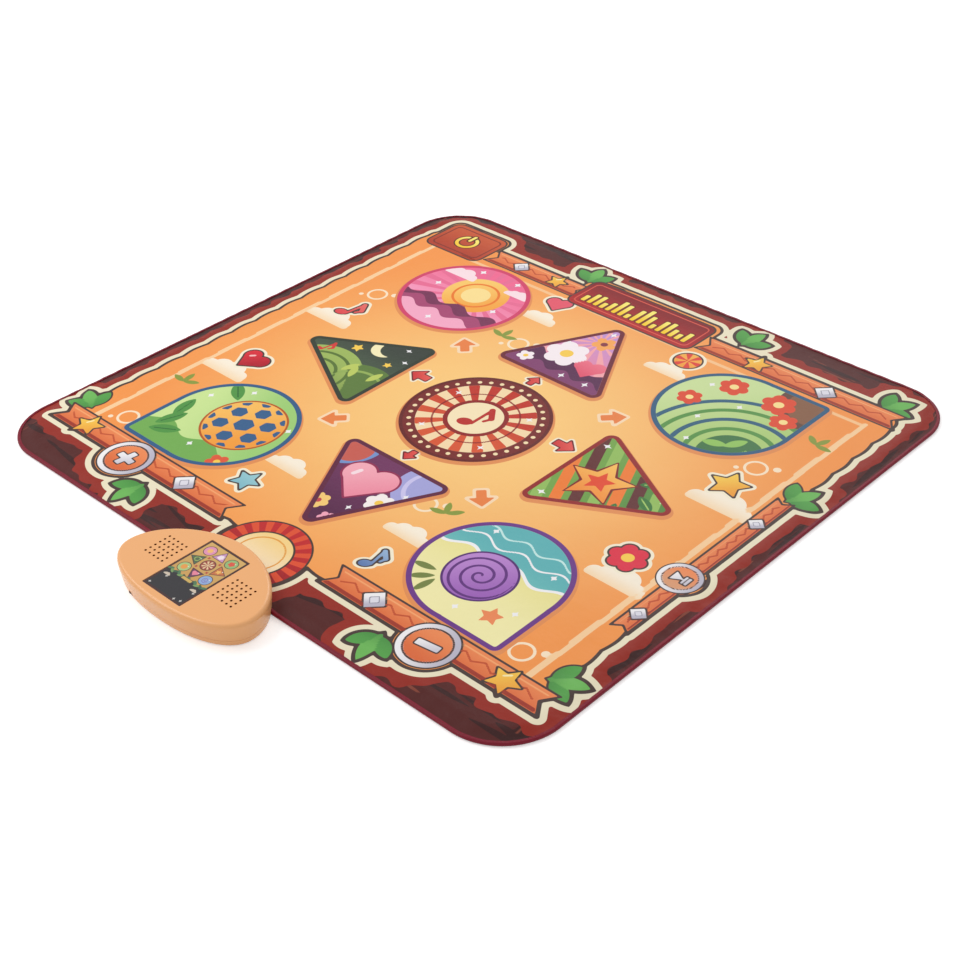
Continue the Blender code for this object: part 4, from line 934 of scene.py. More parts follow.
class Picture:
    """A zone's picture: shapes are placed from the zone's middle and kept inside the zone's line."""

    def __init__(self, made, name, line, colour, width=0.0068, to=None, along=(0, 1)):
        low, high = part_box(name)
        self.made = made
        self.at = ((low.x + high.x) / 2, (low.y + high.y) / 2)
        shape = zone_shape(name, low, high)
        self.clip = moved(shape, *self.at)(made.x, made.y) - width
        made.paint(3, grow(shape, 0.003), "e69258", (self.at[0] + 0.003, self.at[1] - 0.004))
        made.paint(4, shape, line, self.at)
        made.paint(5, grow(shape, -width), colour, self.at, to=to, along=along, span=0.14)

    def add(self, level, shape, colour, u=0.0, v=0.0, turn=0, **shade):
        """Lays a shape at (u, v) from the zone's middle."""
        spot = (self.at[0] + u, self.at[1] + v)
        self.made.paint(level, shape, colour, spot, turn, clip=self.clip, **shade)

    def flower(self, level, u, v, size, colour, middle, count=6):
        """Round petals, and a disc on the next level."""
        self.add(level, petals(count, size, size * 0.62), colour, u, v)
        self.add(level + 1, disc(size * 0.48), middle, u, v)

    def blades(self, level, spots, length, width, colour, vein=None):
        """Leaves at (u, v, turn), each with a vein where one is given."""
        for u, v, turn in spots:
            self.add(level, leaf(length, width), colour, u, v, turn)
            if vein:
                self.add(level + 1, bar(-length * 0.32, 0, length * 0.34, 0, 0.001), vein, u, v, turn)

    def sparkle(self, spots, size=0.008):
        """Four-pointed stars."""
        for u, v in spots:
            self.add(11, star(4, size, size * 0.34), WHITE, u, v)


def draw_far_left(made):
    """A sun over waves, in pinks."""
    art = Picture(made, "step_far_left", "d6426c", "faa4c8", to="f46c96")
    art.add(6, rays(22, 0.45), "ec7098", 0.01, 0.015)
    art.add(7, disc(0.05), "faa842", 0.01, 0.015, to="fece6e", along=(-0.7, 0.7))
    art.add(8, band(0.034, 0.004), "f07c2c", 0.01, 0.015)
    art.add(8, disc(0.022), "ffe296", 0.01, 0.015)
    art.add(8, wave(-0.026, 0.007, 0.06), "7a3258")
    art.add(9, wave(-0.04, 0.007, 0.055, 1.4), "aa4874")
    art.add(10, wave(-0.056, 0.006, 0.05, 2.6), "f8acc8")
    art.add(9, cloud(0.05), "fee2e8", -0.052, 0.048)
    art.add(9, cloud(0.038), "fee2e8", 0.056, 0.052)
    art.sparkle([(-0.06, 0.008), (0.062, -0.004), (-0.03, 0.074), (0.036, 0.078), (0.0, -0.074)])


def draw_far_middle(made):
    """Flowers and a heart on pink and plum."""
    art = Picture(made, "step_far_middle", "702436", "ee8ea8", to="c496d6")
    art.add(6, rays(14, 0.4), "f8aab0", 0, 0.03)
    art.add(7, wave(-0.036, 0.01, 0.07, 0.8), "5c2852")
    art.add(8, wave(-0.064, 0.006, 0.045), "844070")
    art.flower(9, -0.018, -0.022, 0.02, "fcf0f4", GOLD)
    art.add(9, heart(0.044), "de3c60", 0.032, -0.036, 12, to="f68296")
    art.flower(9, 0.006, 0.03, 0.011, "faaa5a", "8c3c46", 5)
    art.flower(9, -0.058, -0.062, 0.008, "fcf0f4", GOLD, 5)
    art.sparkle([(0.054, -0.068), (-0.036, 0.004), (0.014, -0.07), (0.0, 0.058)], 0.007)


def draw_far_right(made):
    """Arched garden rows with red flowers, in greens and blue."""
    art = Picture(made, "step_far_right", "346082", "b0d07c", to="cee2a0", along=(-0.7, 0.7))
    for number, radius in enumerate((0.125, 0.103, 0.081, 0.059)):
        art.add(6, band(radius, 0.0075), "5c964c" if number % 2 else "366480", 0.06, -0.075)
    art.add(7, disc(0.044), "467a4a", 0.06, -0.075)
    art.add(6, disc(0.06), "684a3e", 0.088, 0.088)
    art.add(7, disc(0.046), "8a6046", 0.088, 0.088)
    spots = [(0.04, 0.06, 0.015), (0.068, 0.03, 0.012), (-0.03, 0.058, 0.013), (-0.06, 0.0, 0.011)]
    for u, v, size in spots:
        art.flower(8, u, v, size, "e24e32", "fee296")
    spots = [(0.052, -0.05, 60), (0.03, -0.066, 20), (0.074, -0.07, 100)]
    art.blades(9, spots, 0.034, 0.014, "96c864")
    art.sparkle([(-0.024, -0.03), (0.005, 0.022), (-0.056, 0.044), (-0.004, -0.08)], 0.007)


def draw_middle_left(made):
    """Green hills at night with a moon and stars."""
    art = Picture(made, "step_middle_left", "343e32", "3a423a", to="546850", along=(0, -1))
    art.add(6, disc(0.07), "7c964a", -0.01, -0.062, to="a0ba60")
    art.add(6, disc(0.062), "607e3e", 0.062, -0.06)
    art.add(7, band(0.052, 0.005), "5c7838", -0.01, -0.062)
    art.add(7, band(0.034, 0.005), "5c7838", -0.01, -0.062)
    art.add(7, band(0.044, 0.005), "96b25a", 0.062, -0.06)
    art.add(8, without(disc(0.021), disc(0.019, 0.01, 0.006)), "faf0be", 0.028, 0.044)
    art.add(8, star(5, 0.011, 0.005), GOLD, -0.006, 0.022)
    art.add(8, star(5, 0.008, 0.0035), GOLD, 0.06, 0.016)
    art.add(8, note(0.034), "d63c38", -0.042, -0.004, -10)
    spots = [(0.024, -0.02, 70), (0.036, -0.026, 110), (0.07, -0.018, 80)]
    art.blades(9, spots, 0.03, 0.011, "bece64")
    art.sparkle([(0.056, 0.062), (0.01, 0.052), (-0.022, 0.04), (0.074, 0.036)], 0.006)


def draw_centre(made):
    """A sunburst with a note in its middle, in a dotted ring."""
    art = Picture(made, "step_centre", "682222", "7a2826", width=0.005)
    art.add(6, disc(0.08), "fadeb0")
    art.add(7, both(rays(16), disc(0.08)), "dc5832", to="c43424")
    for number in range(36):
        art.add(6, disc(0.0032), "fae2b4", *polar(0.088, 10 * number))
    art.add(8, regular(16, 0.044, 11), "922222")
    art.add(9, disc(0.037), "fce8be")
    art.add(9, band(0.058, 0.0026), "922222")
    art.add(10, note(0.056), "be2e28", 0.002, 0.004)
    art.sparkle([(-0.06, 0.03), (0.056, 0.042), (0.052, -0.046), (-0.044, -0.056)], 0.006)


def draw_middle_right(made):
    """Slanted green, orange and maroon bands with a star."""
    art = Picture(made, "step_middle_right", "962426", "78a84c", to="548c42", along=(1, 0))
    tones = ["f48034", "642c2c", "96c060"]
    for number in range(-4, 5):
        art.add(6, box(0.0075, 0.2, 0.001), tones[number % 3], number * 0.026, 0, 24)
    art.add(8, star(5, 0.05, 0.025), "802224", -0.03, -0.004, 10)
    art.add(9, star(5, 0.046, 0.021), "f68c38", -0.03, -0.004, 10, to="fec460")
    art.add(10, star(5, 0.022, 0.01), "e84c2c", -0.03, -0.004, 10)
    spots = [(0.042, -0.004, 150), (0.02, -0.042, 110), (0.026, 0.034, 215)]
    art.blades(9, spots, 0.036, 0.015, "3e7a3c", "aace6e")
    art.sparkle([(-0.072, 0.062), (-0.07, -0.066), (0.054, 0.014)], 0.007)


def draw_near_left(made):
    """An orange ball with blue six-sided patches, and leaves."""
    art = Picture(made, "step_near_left", "36608a", "cee898", to="a0d078", along=(1, 0.4))
    art.add(6, wave(-0.05, 0.008, 0.08), "76b056")
    art.add(7, disc(0.059), "bc5c24", 0.02, 0.012)
    art.add(8, disc(0.056), "f6a03e", 0.02, 0.012, to="fcc060", along=(-0.7, 0.7))
    for radius, count, size in ((0.0, 1, 0.015), (0.033, 6, 0.012), (0.054, 12, 0.008)):
        for number in range(count):
            patch = moved(regular(6, size, 30), *polar(radius, 360 * (number + 0.5) / count))
            art.add(9, both(patch, disc(0.054)), "3a628e", 0.02, 0.012)
    spots = [(-0.066, -0.04, 70), (-0.052, -0.062, 30), (-0.074, -0.012, 100), (-0.05, 0.06, 140)]
    art.blades(8, spots, 0.046, 0.019, "549848", "347038")
    art.flower(9, 0.06, -0.066, 0.01, "e25c3c", GOLD, 5)
    art.sparkle([(-0.07, 0.03), (0.076, 0.04), (0.0, -0.062), (-0.03, 0.072)], 0.007)


def draw_near_middle(made):
    """A heart and flowers on plum, with a lilac corner."""
    art = Picture(made, "step_near_middle", "642642", "58264a", to="743662")
    art.add(6, disc(0.056), "a8a8de", 0.078, 0.07)
    art.add(7, band(0.04, 0.006), "cec8f0", 0.078, 0.07)
    art.add(6, disc(0.05), "7896ce", -0.084, 0.078)
    art.add(7, disc(0.03), "cc6054", -0.07, 0.07)
    art.add(8, grow(heart(0.074), 0.003), "962c54", -0.004, 0.026, 6)
    art.add(9, heart(0.074), "f088a0", -0.004, 0.026, 6, to="fab0be", along=(-0.7, 0.7))
    art.add(10, bar(-0.024, 0.008, -0.02, 0.018, 0.0032), "fee2e8", -0.004, 0.026, 6)
    art.flower(8, 0.042, 0.008, 0.012, "fcf4f0", GOLD)
    art.flower(8, -0.02, -0.036, 0.01, "face78", "c84650")
    art.flower(8, 0.014, -0.054, 0.007, "f6a8be", "8c3250", 5)
    art.sparkle([(0.02, -0.022), (-0.046, 0.002), (0.058, 0.038), (0.004, -0.072)], 0.006)


def draw_near_right(made):
    """A shell's spiral between sea and sand."""
    art = Picture(made, "step_near_right", "6e3a8a", "ece28e", to="f6eeb0", along=(0, -1))
    sea = wave(0.018, 0.007, 0.07)
    art.add(6, lambda x, y: -sea(x, y), "84cec4", to="60b4b8")
    art.add(7, crest(0.018, 0.007, 0.07, 0.0, 0.0022), WHITE)
    art.add(7, crest(0.044, 0.006, 0.06, 1.0, 0.0014), WHITE)
    art.add(7, crest(0.064, 0.005, 0.05, 2.2, 0.0014), "c8ece8")
    art.add(8, disc(0.046), "582c74", -0.006, -0.012)
    art.add(9, disc(0.043), "9c60b8", -0.006, -0.012, to="be8ad2", along=(-0.7, 0.7))
    art.add(10, spiral(0.014, 0.0036, 3.0), "62327e", -0.006, -0.012)
    spots = [(-0.058, -0.056, 40), (-0.044, -0.066, 80), (-0.068, -0.04, 10)]
    art.blades(8, spots, 0.034, 0.01, "788646")
    art.add(8, star(5, 0.016, 0.008), "f08c5a", 0.052, -0.056, 14)
    art.sparkle([(0.06, 0.04), (0.07, -0.036), (-0.05, 0.062), (0.01, -0.07)], 0.007)


def draw_buttons(made):
    """Plus, minus, and play beside pause: each a white ring round an orange disc with a white sign."""
    cross = either(box(0.015, 0.0045, 0.0012), box(0.0045, 0.015, 0.0012))
    pauses = [moved(box(0.0015, 0.007, 0.0006), u, 0) for u in (0.0062, 0.0112)]
    play = either(moved(regular(3, 0.0092), -0.0048, 0), *pauses)
    buttons = [
        (PLUS_AT, BUTTON_R, RIBBON, cross, -8),
        (MINUS_AT, BUTTON_R, RIBBON, box(0.0155, 0.0048, 0.0012), 8),
        (PLAY_AT, PLAY_R, "dea078", play, 0),
    ]
    for at, radius, face, sign, turn in buttons:
        ring = band(radius * 0.853, radius * 0.172)
        made.paint(8, disc(radius), DARK, at)
        made.paint(9, ring, WHITE, at, to=GREY, along=(1, 0.4), span=radius * 2)
        made.paint(9, disc(radius * 0.7), face, at, to=RIBBON_LIGHT, span=radius * 1.4)
        made.paint(10, grow(sign, 0.002), DARK, at, turn)
        made.paint(11, sign, WHITE, at, turn, to="cecad6", along=(0.7, -0.7), span=radius * 0.8)


def draw_start(made):
    """A plaque with an on sign."""
    made.edged(8, box(0.0535, 0.0395, 0.014), "b23e28", DARK, 0.003, START_AT, to="ce5c34")
    made.paint(10, without(box(0.047, 0.033, 0.009), box(0.0446, 0.0306, 0.008)), "803026", START_AT)
    ring = without(band(0.016, 0.0056), moved(box(0.0062, 0.012, 0.001), 0, 0.016))
    sign = either(ring, moved(box(0.0027, 0.0095, 0.001), 0, 0.013))
    made.paint(10, grow(sign, 0.0022), "602c1e", START_AT)
    made.paint(11, sign, "fcce3c", START_AT, to="ffec78", span=0.03)


# Materials of the prints

def ink_group():
    """One level of print over what is under it: its colour where its depth is over a half, softly."""
    inputs = {
        "Under": ("Color", (1, 1, 1, 1)),
        "Ink": ("Color", (0, 0, 0, 1)),
        "Depth": ("Float", 0.0),
        "Softness": ("Float", 0.016),
    }
    tree, came, went = new_group("print_level", inputs, {"Color": "Color"})
    limits = {"Value": came["Depth"]}
    for operation, limit in (("SUBTRACT", "From Min"), ("ADD", "From Max")):
        limits[limit] = add_node(tree, "Math", {0: 0.5, 1: came["Softness"]}, operation=operation).outputs[0]
    share = add_node(tree, "MapRange", limits, interpolation_type="SMOOTHSTEP").outputs[0]
    plug(tree, went["Color"], mixed(tree, share, came["Under"], came["Ink"]))
    return tree


INK = ink_group()


def printed(made, levels, softness):
    """The levels' attributes laid over the ground's, as one colour."""
    colour = made.attribute("ground")["Color"]
    for number in range(1, levels + 1):
        level = made.attribute(f"print_{number}")
        inputs = {"Under": colour, "Ink": level["Color"], "Depth": level["Alpha"], "Softness": softness}
        colour = made.add("Group", inputs, node_tree=INK).outputs["Color"]
    return colour


def print_material():
    """The printed film: the levels' colours, a soft gloss, faint creases and a fine grain."""
    made = Finish("printed_cover")
    grain = made.grain(printed(made, PRINT_LEVELS, 0.016), 1400.0, 0.00003, 0.05)
    noise = {"Vector": made.point, "Scale": 9.0, "Detail": 5.0, "Roughness": 0.6}
    soft = made.add("TexNoise", noise).outputs["Fac"]
    creased = made.add("Bump", {"Height": soft, "Distance": 0.0034, "Normal": grain["Normal"]})
    made.roughen(soft, 0.34, 0.5)
    made.set({"Normal": creased.outputs[0], "Specular IOR Level": 0.18})
    return made.material


def window_material():
    """A printed film behind a clear glossy sheet."""
    made = Finish("window_print", (0.1, 0.1, 0.1), 0.4)
    grain = made.grain(printed(made, WINDOW_LEVELS, 0.03), 500.0, 0.00001, 0.05)
    made.roughen(grain["Mask"], 0.32, 0.44)
    made.set({"Coat Weight": 1.0, "Coat Roughness": 0.04, "Specular IOR Level": 0.15})
    return made.material


# Picture on the console's window

WINDOW_LEVELS = 6
WINDOW_DEEPEST = 0.003
WINDOW_FRAME = 0.0029
MINI_PITCH = 0.019
MINI_ZONES = [
    (-1, 1, "e896b8", disc(0.0036), "fabe6e"),
    (0, 1, "ce96c4", petals(5, 0.0026, 0.0018), "fae8f0"),
    (1, 1, "96be78", petals(5, 0.0026, 0.0018), "e2543c"),
    (-1, 0, "4e6846", band(0.0034, 0.0014), "a0ba64"),
    (0, 0, "a04234", rays(8), "eecea0"),
    (1, 0, "cc703c", star(5, 0.0046, 0.0021), "f6be60"),
    (-1, -1, "b0cc82", disc(0.0042), "eea046"),
    (0, -1, "683458", heart(0.0085), "f088a0"),
    (1, -1, "92b2de", spiral(0.0024, 0.0009, 2.0), "825ab4"),
]
MARKS = [(-0.0275, -0.0445), (-0.0205, -0.0262), (0.027, -0.044), (0.018, -0.0462), (0.0275, -0.0265)]


def window_print(across, along):
    """Nine small zones on gold, a leafy line, and a dark near third with pale marks, in a dark frame."""
    made = Print(across, along, WINDOW_LEVELS, WINDOW_DEEPEST)
    made.ground[..., :3] = srgb("40100c")
    half_x = across[-1] - WINDOW_FRAME
    half_y = along[-1] - WINDOW_FRAME
    line = -0.3 * half_y
    gold_at = (0, (half_y + line) / 2)
    made.paint(1, box(half_x, (half_y - line) / 2, 0.0006), "d0a054", gold_at, to="dcb064")
    made.paint(1, box(half_x, (half_y + line) / 2, 0.0006), "1e1c24", (0, (line - half_y) / 2))
    for u, v in ((-0.5, 0.5), (0.5, -0.5), (0.5, 0.5), (-0.5, -0.5)):
        spot = (u * MINI_PITCH, gold_at[1] + v * MINI_PITCH)
        made.paint(2, star(4, 0.003, 0.0013), "ba4a34", spot, 45)
    for u, v, tone, mark, ink in MINI_ZONES:
        shape = regular(3, 0.0116, math.degrees(math.atan2(v, u)))
        if abs(u) == abs(v):
            shape = disc(0.0086 if u else 0.0096)
        spot = (u * MINI_PITCH, gold_at[1] + v * MINI_PITCH)
        made.paint(3, shape, "4a2c2c", spot)
        made.paint(4, grow(shape, -0.0009), tone, spot)
        made.paint(5, both(mark, grow(shape, -0.0022)), ink, spot)
        made.paint(6, star(4, 0.0014, 0.0005), "faf6f0", (spot[0] + 0.0036, spot[1] + 0.003))
    for number in range(13):
        tone = ("4a7a54", "7aa05c", "345c42")[number % 3]
        spot = ((number - 6) * 0.0048, line + (0.0012, -0.001, 0.0002)[number % 3])
        made.paint(4, leaf(0.0095, 0.004), tone, spot, 25 + 115 * (number % 2))
    made.edged(5, box(0.008, 0.002, 0.0009), "d6b25c", "46322e", 0.0007, (0.002, line - 0.001))
    for u, v in MARKS:
        made.paint(2, star(4, 0.0026, 0.001), "cecac4", (u, v))
    for side in (-1, 1):
        made.paint(3, cloud(0.0085), "d6c6b2", (side * 0.0235, line - 0.0095))
    return made


# Printed cover of the mat, on one grid of points

class Cover:
    """The cover's points, heights and normals on a square grid, and its triangles by piece."""

    def __init__(self):
        columns = round(2 * MAT_X / STEP) + 1
        rows = round(2 * MAT_Y / STEP) + 1
        across = (np.arange(columns) - (columns - 1) / 2) * STEP
        along = (np.arange(rows) - (rows - 1) / 2) * STEP
        self.inks = mat_print(across, along).attributes()
        self.material = print_material()
        self.x, self.y = np.meshgrid(across, along)
        self.keep_outline()
        self.z = cover_height(self.x, self.y)
        slope_y, slope_x = np.gradient(self.z, STEP)
        normals = np.stack((-slope_x, -slope_y, np.ones_like(slope_x)), -1)
        self.normals = (normals / np.linalg.norm(normals, axis=-1, keepdims=True)).reshape(-1, 3)
        self.points = np.stack((self.x, self.y, self.z), -1).reshape(-1, 3)
        self.split_cells(rows, columns)

    def keep_outline(self):
        """Points just outside the cover's outline move onto it, along the slope of their distance."""
        depth = mat_depth(self.x, self.y) - COVER_INSET
        slope_y, slope_x = np.gradient(depth, STEP)
        reach = STEP * math.sqrt(0.5)
        edge = (depth < 0) & (depth > -reach)
        self.x = self.x - np.where(edge, depth * slope_x, 0)
        self.y = self.y - np.where(edge, depth * slope_y, 0)
        self.kept = depth > -reach

    def split_cells(self, rows, columns):
        """Two triangles a cell, split towards the nearest zone's corners, and each one's piece."""
        quads = grid_faces(rows, columns)
        quads = quads[self.kept.reshape(-1)[quads].all(1)]
        middle = self.points[quads].mean(1)
        rising = np.ones(len(quads), bool)
        for name in ZONES:
            low, high, _ = zone_frame(name)
            inside = ((middle[:, :2] > low) & (middle[:, :2] < high)).all(1)
            offset = middle[:, :2] - (low + high) / 2
            rising[inside] = (offset[inside, 0] * offset[inside, 1]) > 0
        a, b, c, d = quads.T
        first = np.where(rising[:, None], np.stack((a, b, c), 1), np.stack((a, b, d), 1))
        second = np.where(rising[:, None], np.stack((a, c, d), 1), np.stack((b, c, d), 1))
        self.faces = np.concatenate((first, second))
        self.middles = self.points[self.faces].mean(1)[:, :2]

    def piece(self, name, chosen, carrier=None, node=None):
        """The triangles picked by chosen, as an object with the grid's normals and print."""
        used, faces = np.unique(self.faces[chosen], return_inverse=True)
        item = add_mesh(name, self.points[used], faces.reshape(-1, 3))
        item.data.normals_split_custom_set_from_vertices(self.normals[used])
        for level, ink in self.inks.items():
            add_attribute(item, level, ink.reshape(-1, 4)[used])
        fasten(item, self.material, carrier, node)
        return item


# Waves and puckers of the cover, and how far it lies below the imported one
COVER_DROP = 0.0001
PUCKER_LENGTH = 0.027
PUCKER_REACH = 0.03
PUCKER_H = 0.0003
WAVE_H = 0.00022


def cover_height(x, y):
    """Flat, with slow waves, small puckers that die out from the sewn edge, and a slope down to it."""
    waves = np.sin(9.1 * x + 4.2 * y + 0.6) * np.sin(7.3 * y - 3.1 * x + 1.1)
    waves += 0.6 * np.sin(21 * x - 13 * y + 2.0) * np.sin(17 * y + 8 * x)
    turn = 2 * math.pi / PUCKER_LENGTH
    puckers = np.zeros_like(x)
    for along, across, half, phase in ((x, y, MAT_Y, 0.0), (y, x, MAT_X, 1.3)):
        edge = half - np.abs(across)
        drift = 1.7 * np.sin(23 * along + phase) + 3 * np.sign(across)
        puckers += np.exp(-edge / PUCKER_REACH) * np.sin(turn * along + drift)
    return (COVER_Z - COVER_DROP + WAVE_H * waves + PUCKER_H * puckers) * pinch(x, y)


# Half widths of the cover's flexing rectangle round each zone, and the width of its ramps
ROUND_FRAME = (0.094, 0.094, 0.034)
TRIANGLE_FRAME = (0.084, 0.084, 0.044)
TRIANGLE_SHIFT = 0.009
ZONE_FRAMES = {
    **dict.fromkeys(TRIANGLE_TURNS, TRIANGLE_FRAME),
    "step_centre": (0.1, 0.1, 0.036),
    "plus_zone": (0.034, 0.034, 0.014),
    "minus_zone": (0.034, 0.034, 0.014),
    "play_zone": (0.024, 0.024, 0.01),
    "start_zone": (0.052, 0.036, 0.016),
}


def zone_frame(name):
    """Low and high corner of the cover's flexing rectangle round a zone, and its ramp's width."""
    low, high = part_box(name)
    half_x, half_y, inset = ZONE_FRAMES.get(name, ROUND_FRAME)
    middle = np.array(((low + high) / 2)[:2])
    if name in TRIANGLE_TURNS:
        middle = middle * (1 - TRIANGLE_SHIFT / np.abs(middle).max())
    half = np.array((half_x, half_y))
    return STEP * np.round((middle - half) / STEP), STEP * np.round((middle + half) / STEP), inset


SIDES = {"left": (0, -1), "right": (0, 1), "near": (1, -1), "far": (1, 1)}


def lay_cover():
    """The cover in sections, fold strips and zones; each zone is a stiff middle and four ramps round it."""
    cover = Cover()
    x, y = cover.middles.T
    free = np.ones(len(x), bool)
    for name in ZONES:
        low, high, inset = zone_frame(name)
        gaps = np.stack((x - low[0], high[0] - x, y - low[1], high[1] - y), 1)
        nearest = gaps.argmin(1)
        depth = gaps.min(1)
        free &= depth <= 0
        cover.piece(name + "_print", depth > inset, name, name)
        for number, (side, (axis, sign)) in enumerate(SIDES.items()):
            ramp = cover.piece(f"{name}_ramp_{side}", (depth > 0) & (depth < inset) & (nearest == number))
            outer = Vector((*((low + high) / 2), COVER_Z))
            outer[axis] = (low if sign < 0 else high)[axis]
            inner = outer.copy()
            inner[axis] -= sign * inset
            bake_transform(ramp, PARENT[name], name, start=outer, end=inner)
    for side, sign in (("near", -1), ("far", 1)):
        strip = cover.piece(side + "_fold_print", free & (sign * y > FOLD_LOW) & (sign * y < FOLD_HIGH))
        bridge(strip, side, COVER_Z)
    for part, chosen in (("near", y < -FOLD_HIGH), ("middle", np.abs(y) < FOLD_LOW), ("far", y > FOLD_HIGH)):
        item = cover.piece(part + "_print", free & chosen, part + "_section", part + "_cover_sheet")


# Inner layers, and the base fabric underneath

def layer_half_width(y, inset):
    """Half the width of the mat's outline at y, drawn in by inset."""
    radius = CORNER_R - inset
    over = np.maximum(np.abs(y) - (MAT_Y - CORNER_R), 0)
    over = np.minimum(over, radius)
    return MAT_X - inset - radius + np.sqrt(radius ** 2 - over ** 2)


CASE_LOW, CASE_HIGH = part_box("console_top_shell")
CASE_FAR = 0.082
CASE_POWER = 1.85
NOTCH_IN = 0.003
NOTCH_X = (CONSOLE_LEFT + CONSOLE_RIGHT) / 2
NOTCH_HALF_X = (CONSOLE_RIGHT - CONSOLE_LEFT) / 2 - 0.0005
NOTCH_END = CASE_HIGH.y - NOTCH_IN
NOTCH_FADE = 0.06


def notched(plan):
    """The plan with its rows drawn in to the notch that holds the console's tongue.

    The row at NOTCH_END takes the case's outline drawn in by NOTCH_IN, the superellipse
    y = depth * (1 - |x / half|^power)^(1 / power), and the shift fades out all round.
    """
    x, y = plan.T
    start = y.min()
    half = (CASE_HIGH.x - CASE_LOW.x) / 2 - NOTCH_IN
    reach = np.abs(x - NOTCH_X)
    share = np.minimum(reach, NOTCH_HALF_X) / half
    shift = (CASE_FAR - NOTCH_IN) * (1 - (1 - share ** CASE_POWER) ** (1 / CASE_POWER))
    shift *= 1 - smoothstep(NOTCH_HALF_X, NOTCH_HALF_X + NOTCH_FADE, reach)
    rise = (y - start) / (NOTCH_END - start)
    fall = 1 - smoothstep(NOTCH_END, NOTCH_END + NOTCH_FADE, y)
    return np.column_stack((x, y - shift * np.minimum(rise, fall)))


def slab(name, rows, columns, inset, low, high, holes, notch):
    """A closed slab in the mat's outline: rows are places along Y, columns shares of the half width.

    The middle half of the columns runs straight, and the rest spread out to the outline. Cells whose
    middle lies in a hole are left out, and a wall joins top and bottom along every edge between a kept
    cell and a missing one.
    """
    share, along = np.meshgrid(columns, rows)
    full = MAT_X - inset
    outer = 2 * np.maximum(np.abs(share) - 0.5, 0) * (layer_half_width(along, inset) - full / 2)
    across = np.sign(share) * (np.minimum(np.abs(share), 0.5) * full + outer)
    count = across.size
    plan = np.stack((across, along), -1).reshape(-1, 2)
    quads = grid_faces(len(rows), len(columns))
    middle = plan[quads].mean(1)
    kept = np.ones(len(quads), bool)
    for hole_low, hole_high in holes:
        kept &= ~((middle > hole_low) & (middle < hole_high)).all(1)
    quads = quads[kept]
    sides = np.concatenate([quads[:, (k, (k + 1) % 4)] for k in range(4)])
    codes = sides[:, 0] * count + sides[:, 1]
    alone = ~np.isin(codes, sides[:, 1] * count + sides[:, 0])
    rim = sides[alone]
    walls = np.stack((rim[:, 1], rim[:, 0], rim[:, 0] + count, rim[:, 1] + count), 1)
    faces = np.concatenate((quads, quads[:, ::-1] + count, walls))
    used, faces = np.unique(faces, return_inverse=True)
    if notch:
        plan = notched(plan)
    kept_height = pinch(*plan.T)
    top = np.column_stack((plan, high * kept_height))
    bottom = np.column_stack((plan, low * kept_height))
    return add_mesh(name, np.concatenate((top, bottom))[used], faces.reshape(-1, 4))


def row_places(low, high, inset, marks):
    """Places along Y from low to high: the marks, and finer ones round the mat's corners."""
    end = MAT_Y - inset
    turns = np.linspace(0, math.pi / 2, 20)
    bend = end - (CORNER_R - inset) * (1 - np.sin(turns))
    slope = end - EDGE_PLACES
    places = np.concatenate((bend, -bend, slope, -slope, marks, np.arange(-0.42, 0.421, 0.03), (low, high)))
    places = np.unique(np.round(places[(places >= low - 1e-6) & (places <= high + 1e-6)], 6))
    return places[np.concatenate(([True], np.diff(places) > 0.0002))]


# Thickness of the layers, and how far inside the mat's outline each ends
FOAM_T = 0.0019
FILM_T = 0.0003
SPACER_T = 0.0012
BASE_IN = TAPE_IN + 0.00005
FOAM_IN = 0.0028
FILM_IN = 0.012
SPACER_IN = 0.0048
SPACER_HOLE_IN = 0.01
DOT_PITCH = 0.006

# Places across a layer, in from its edge and out from the console's sides, where its height changes
EDGE_PLACES = np.array((0.0025, 0.005, 0.008, 0.012, 0.016, 0.021, 0.026))
BESIDE_PLACES = np.array((-0.002, 0.001, 0.004, 0.007, 0.01, 0.013, 0.016, 0.019, 0.022))


def lay_sheet(layer, node, material, inset, low, high, holes=()):
    """One layer in three sections and two fold strips."""
    marks_x, marks_y = np.reshape(holes, (-1, 2)).T
    half = MAT_X - inset
    slope = half - EDGE_PLACES
    mouth = NOTCH_X + np.linspace(-NOTCH_HALF_X, NOTCH_HALF_X, 25)
    beside = np.concatenate((CONSOLE_RIGHT + BESIDE_PLACES, CONSOLE_LEFT - BESIDE_PLACES))
    columns = np.concatenate((marks_x, slope, -slope, mouth, beside, np.linspace(-half, half, 31))) / half
    columns = np.unique(np.round(columns, 6))
    end = MAT_Y - inset
    places = [-end, -FOLD_HIGH, -FOLD_LOW, FOLD_LOW, FOLD_HIGH, end]
    parts = ["near", "near_fold", "middle", "far_fold", "far"]
    for part, near_y, far_y in zip(parts, places, places[1:]):
        fold = "fold" in part
        notch = part == "near" and layer in ("base", "foam")
        marks = np.linspace(near_y, far_y, 7) if fold else marks_y
        edge = max(inset, TAPE_IN + 0.0003) if fold else inset
        openings = list(holes)
        if notch:
            openings.append(((NOTCH_X - NOTCH_HALF_X, -MAT_Y), (NOTCH_X + NOTCH_HALF_X, NOTCH_END)))
            marks = np.append(marks, NOTCH_END)
        rows = row_places(near_y, far_y, edge, marks)
        item = slab(f"{part}_{layer}", rows, columns, edge, low, high, openings, notch)
        item.data.shade_flat()
        if fold:
            fasten(item, material)
            bridge(item, part.split("_")[0], low)
            continue
        fasten(item, material, part + "_section", f"{part}_{node}")


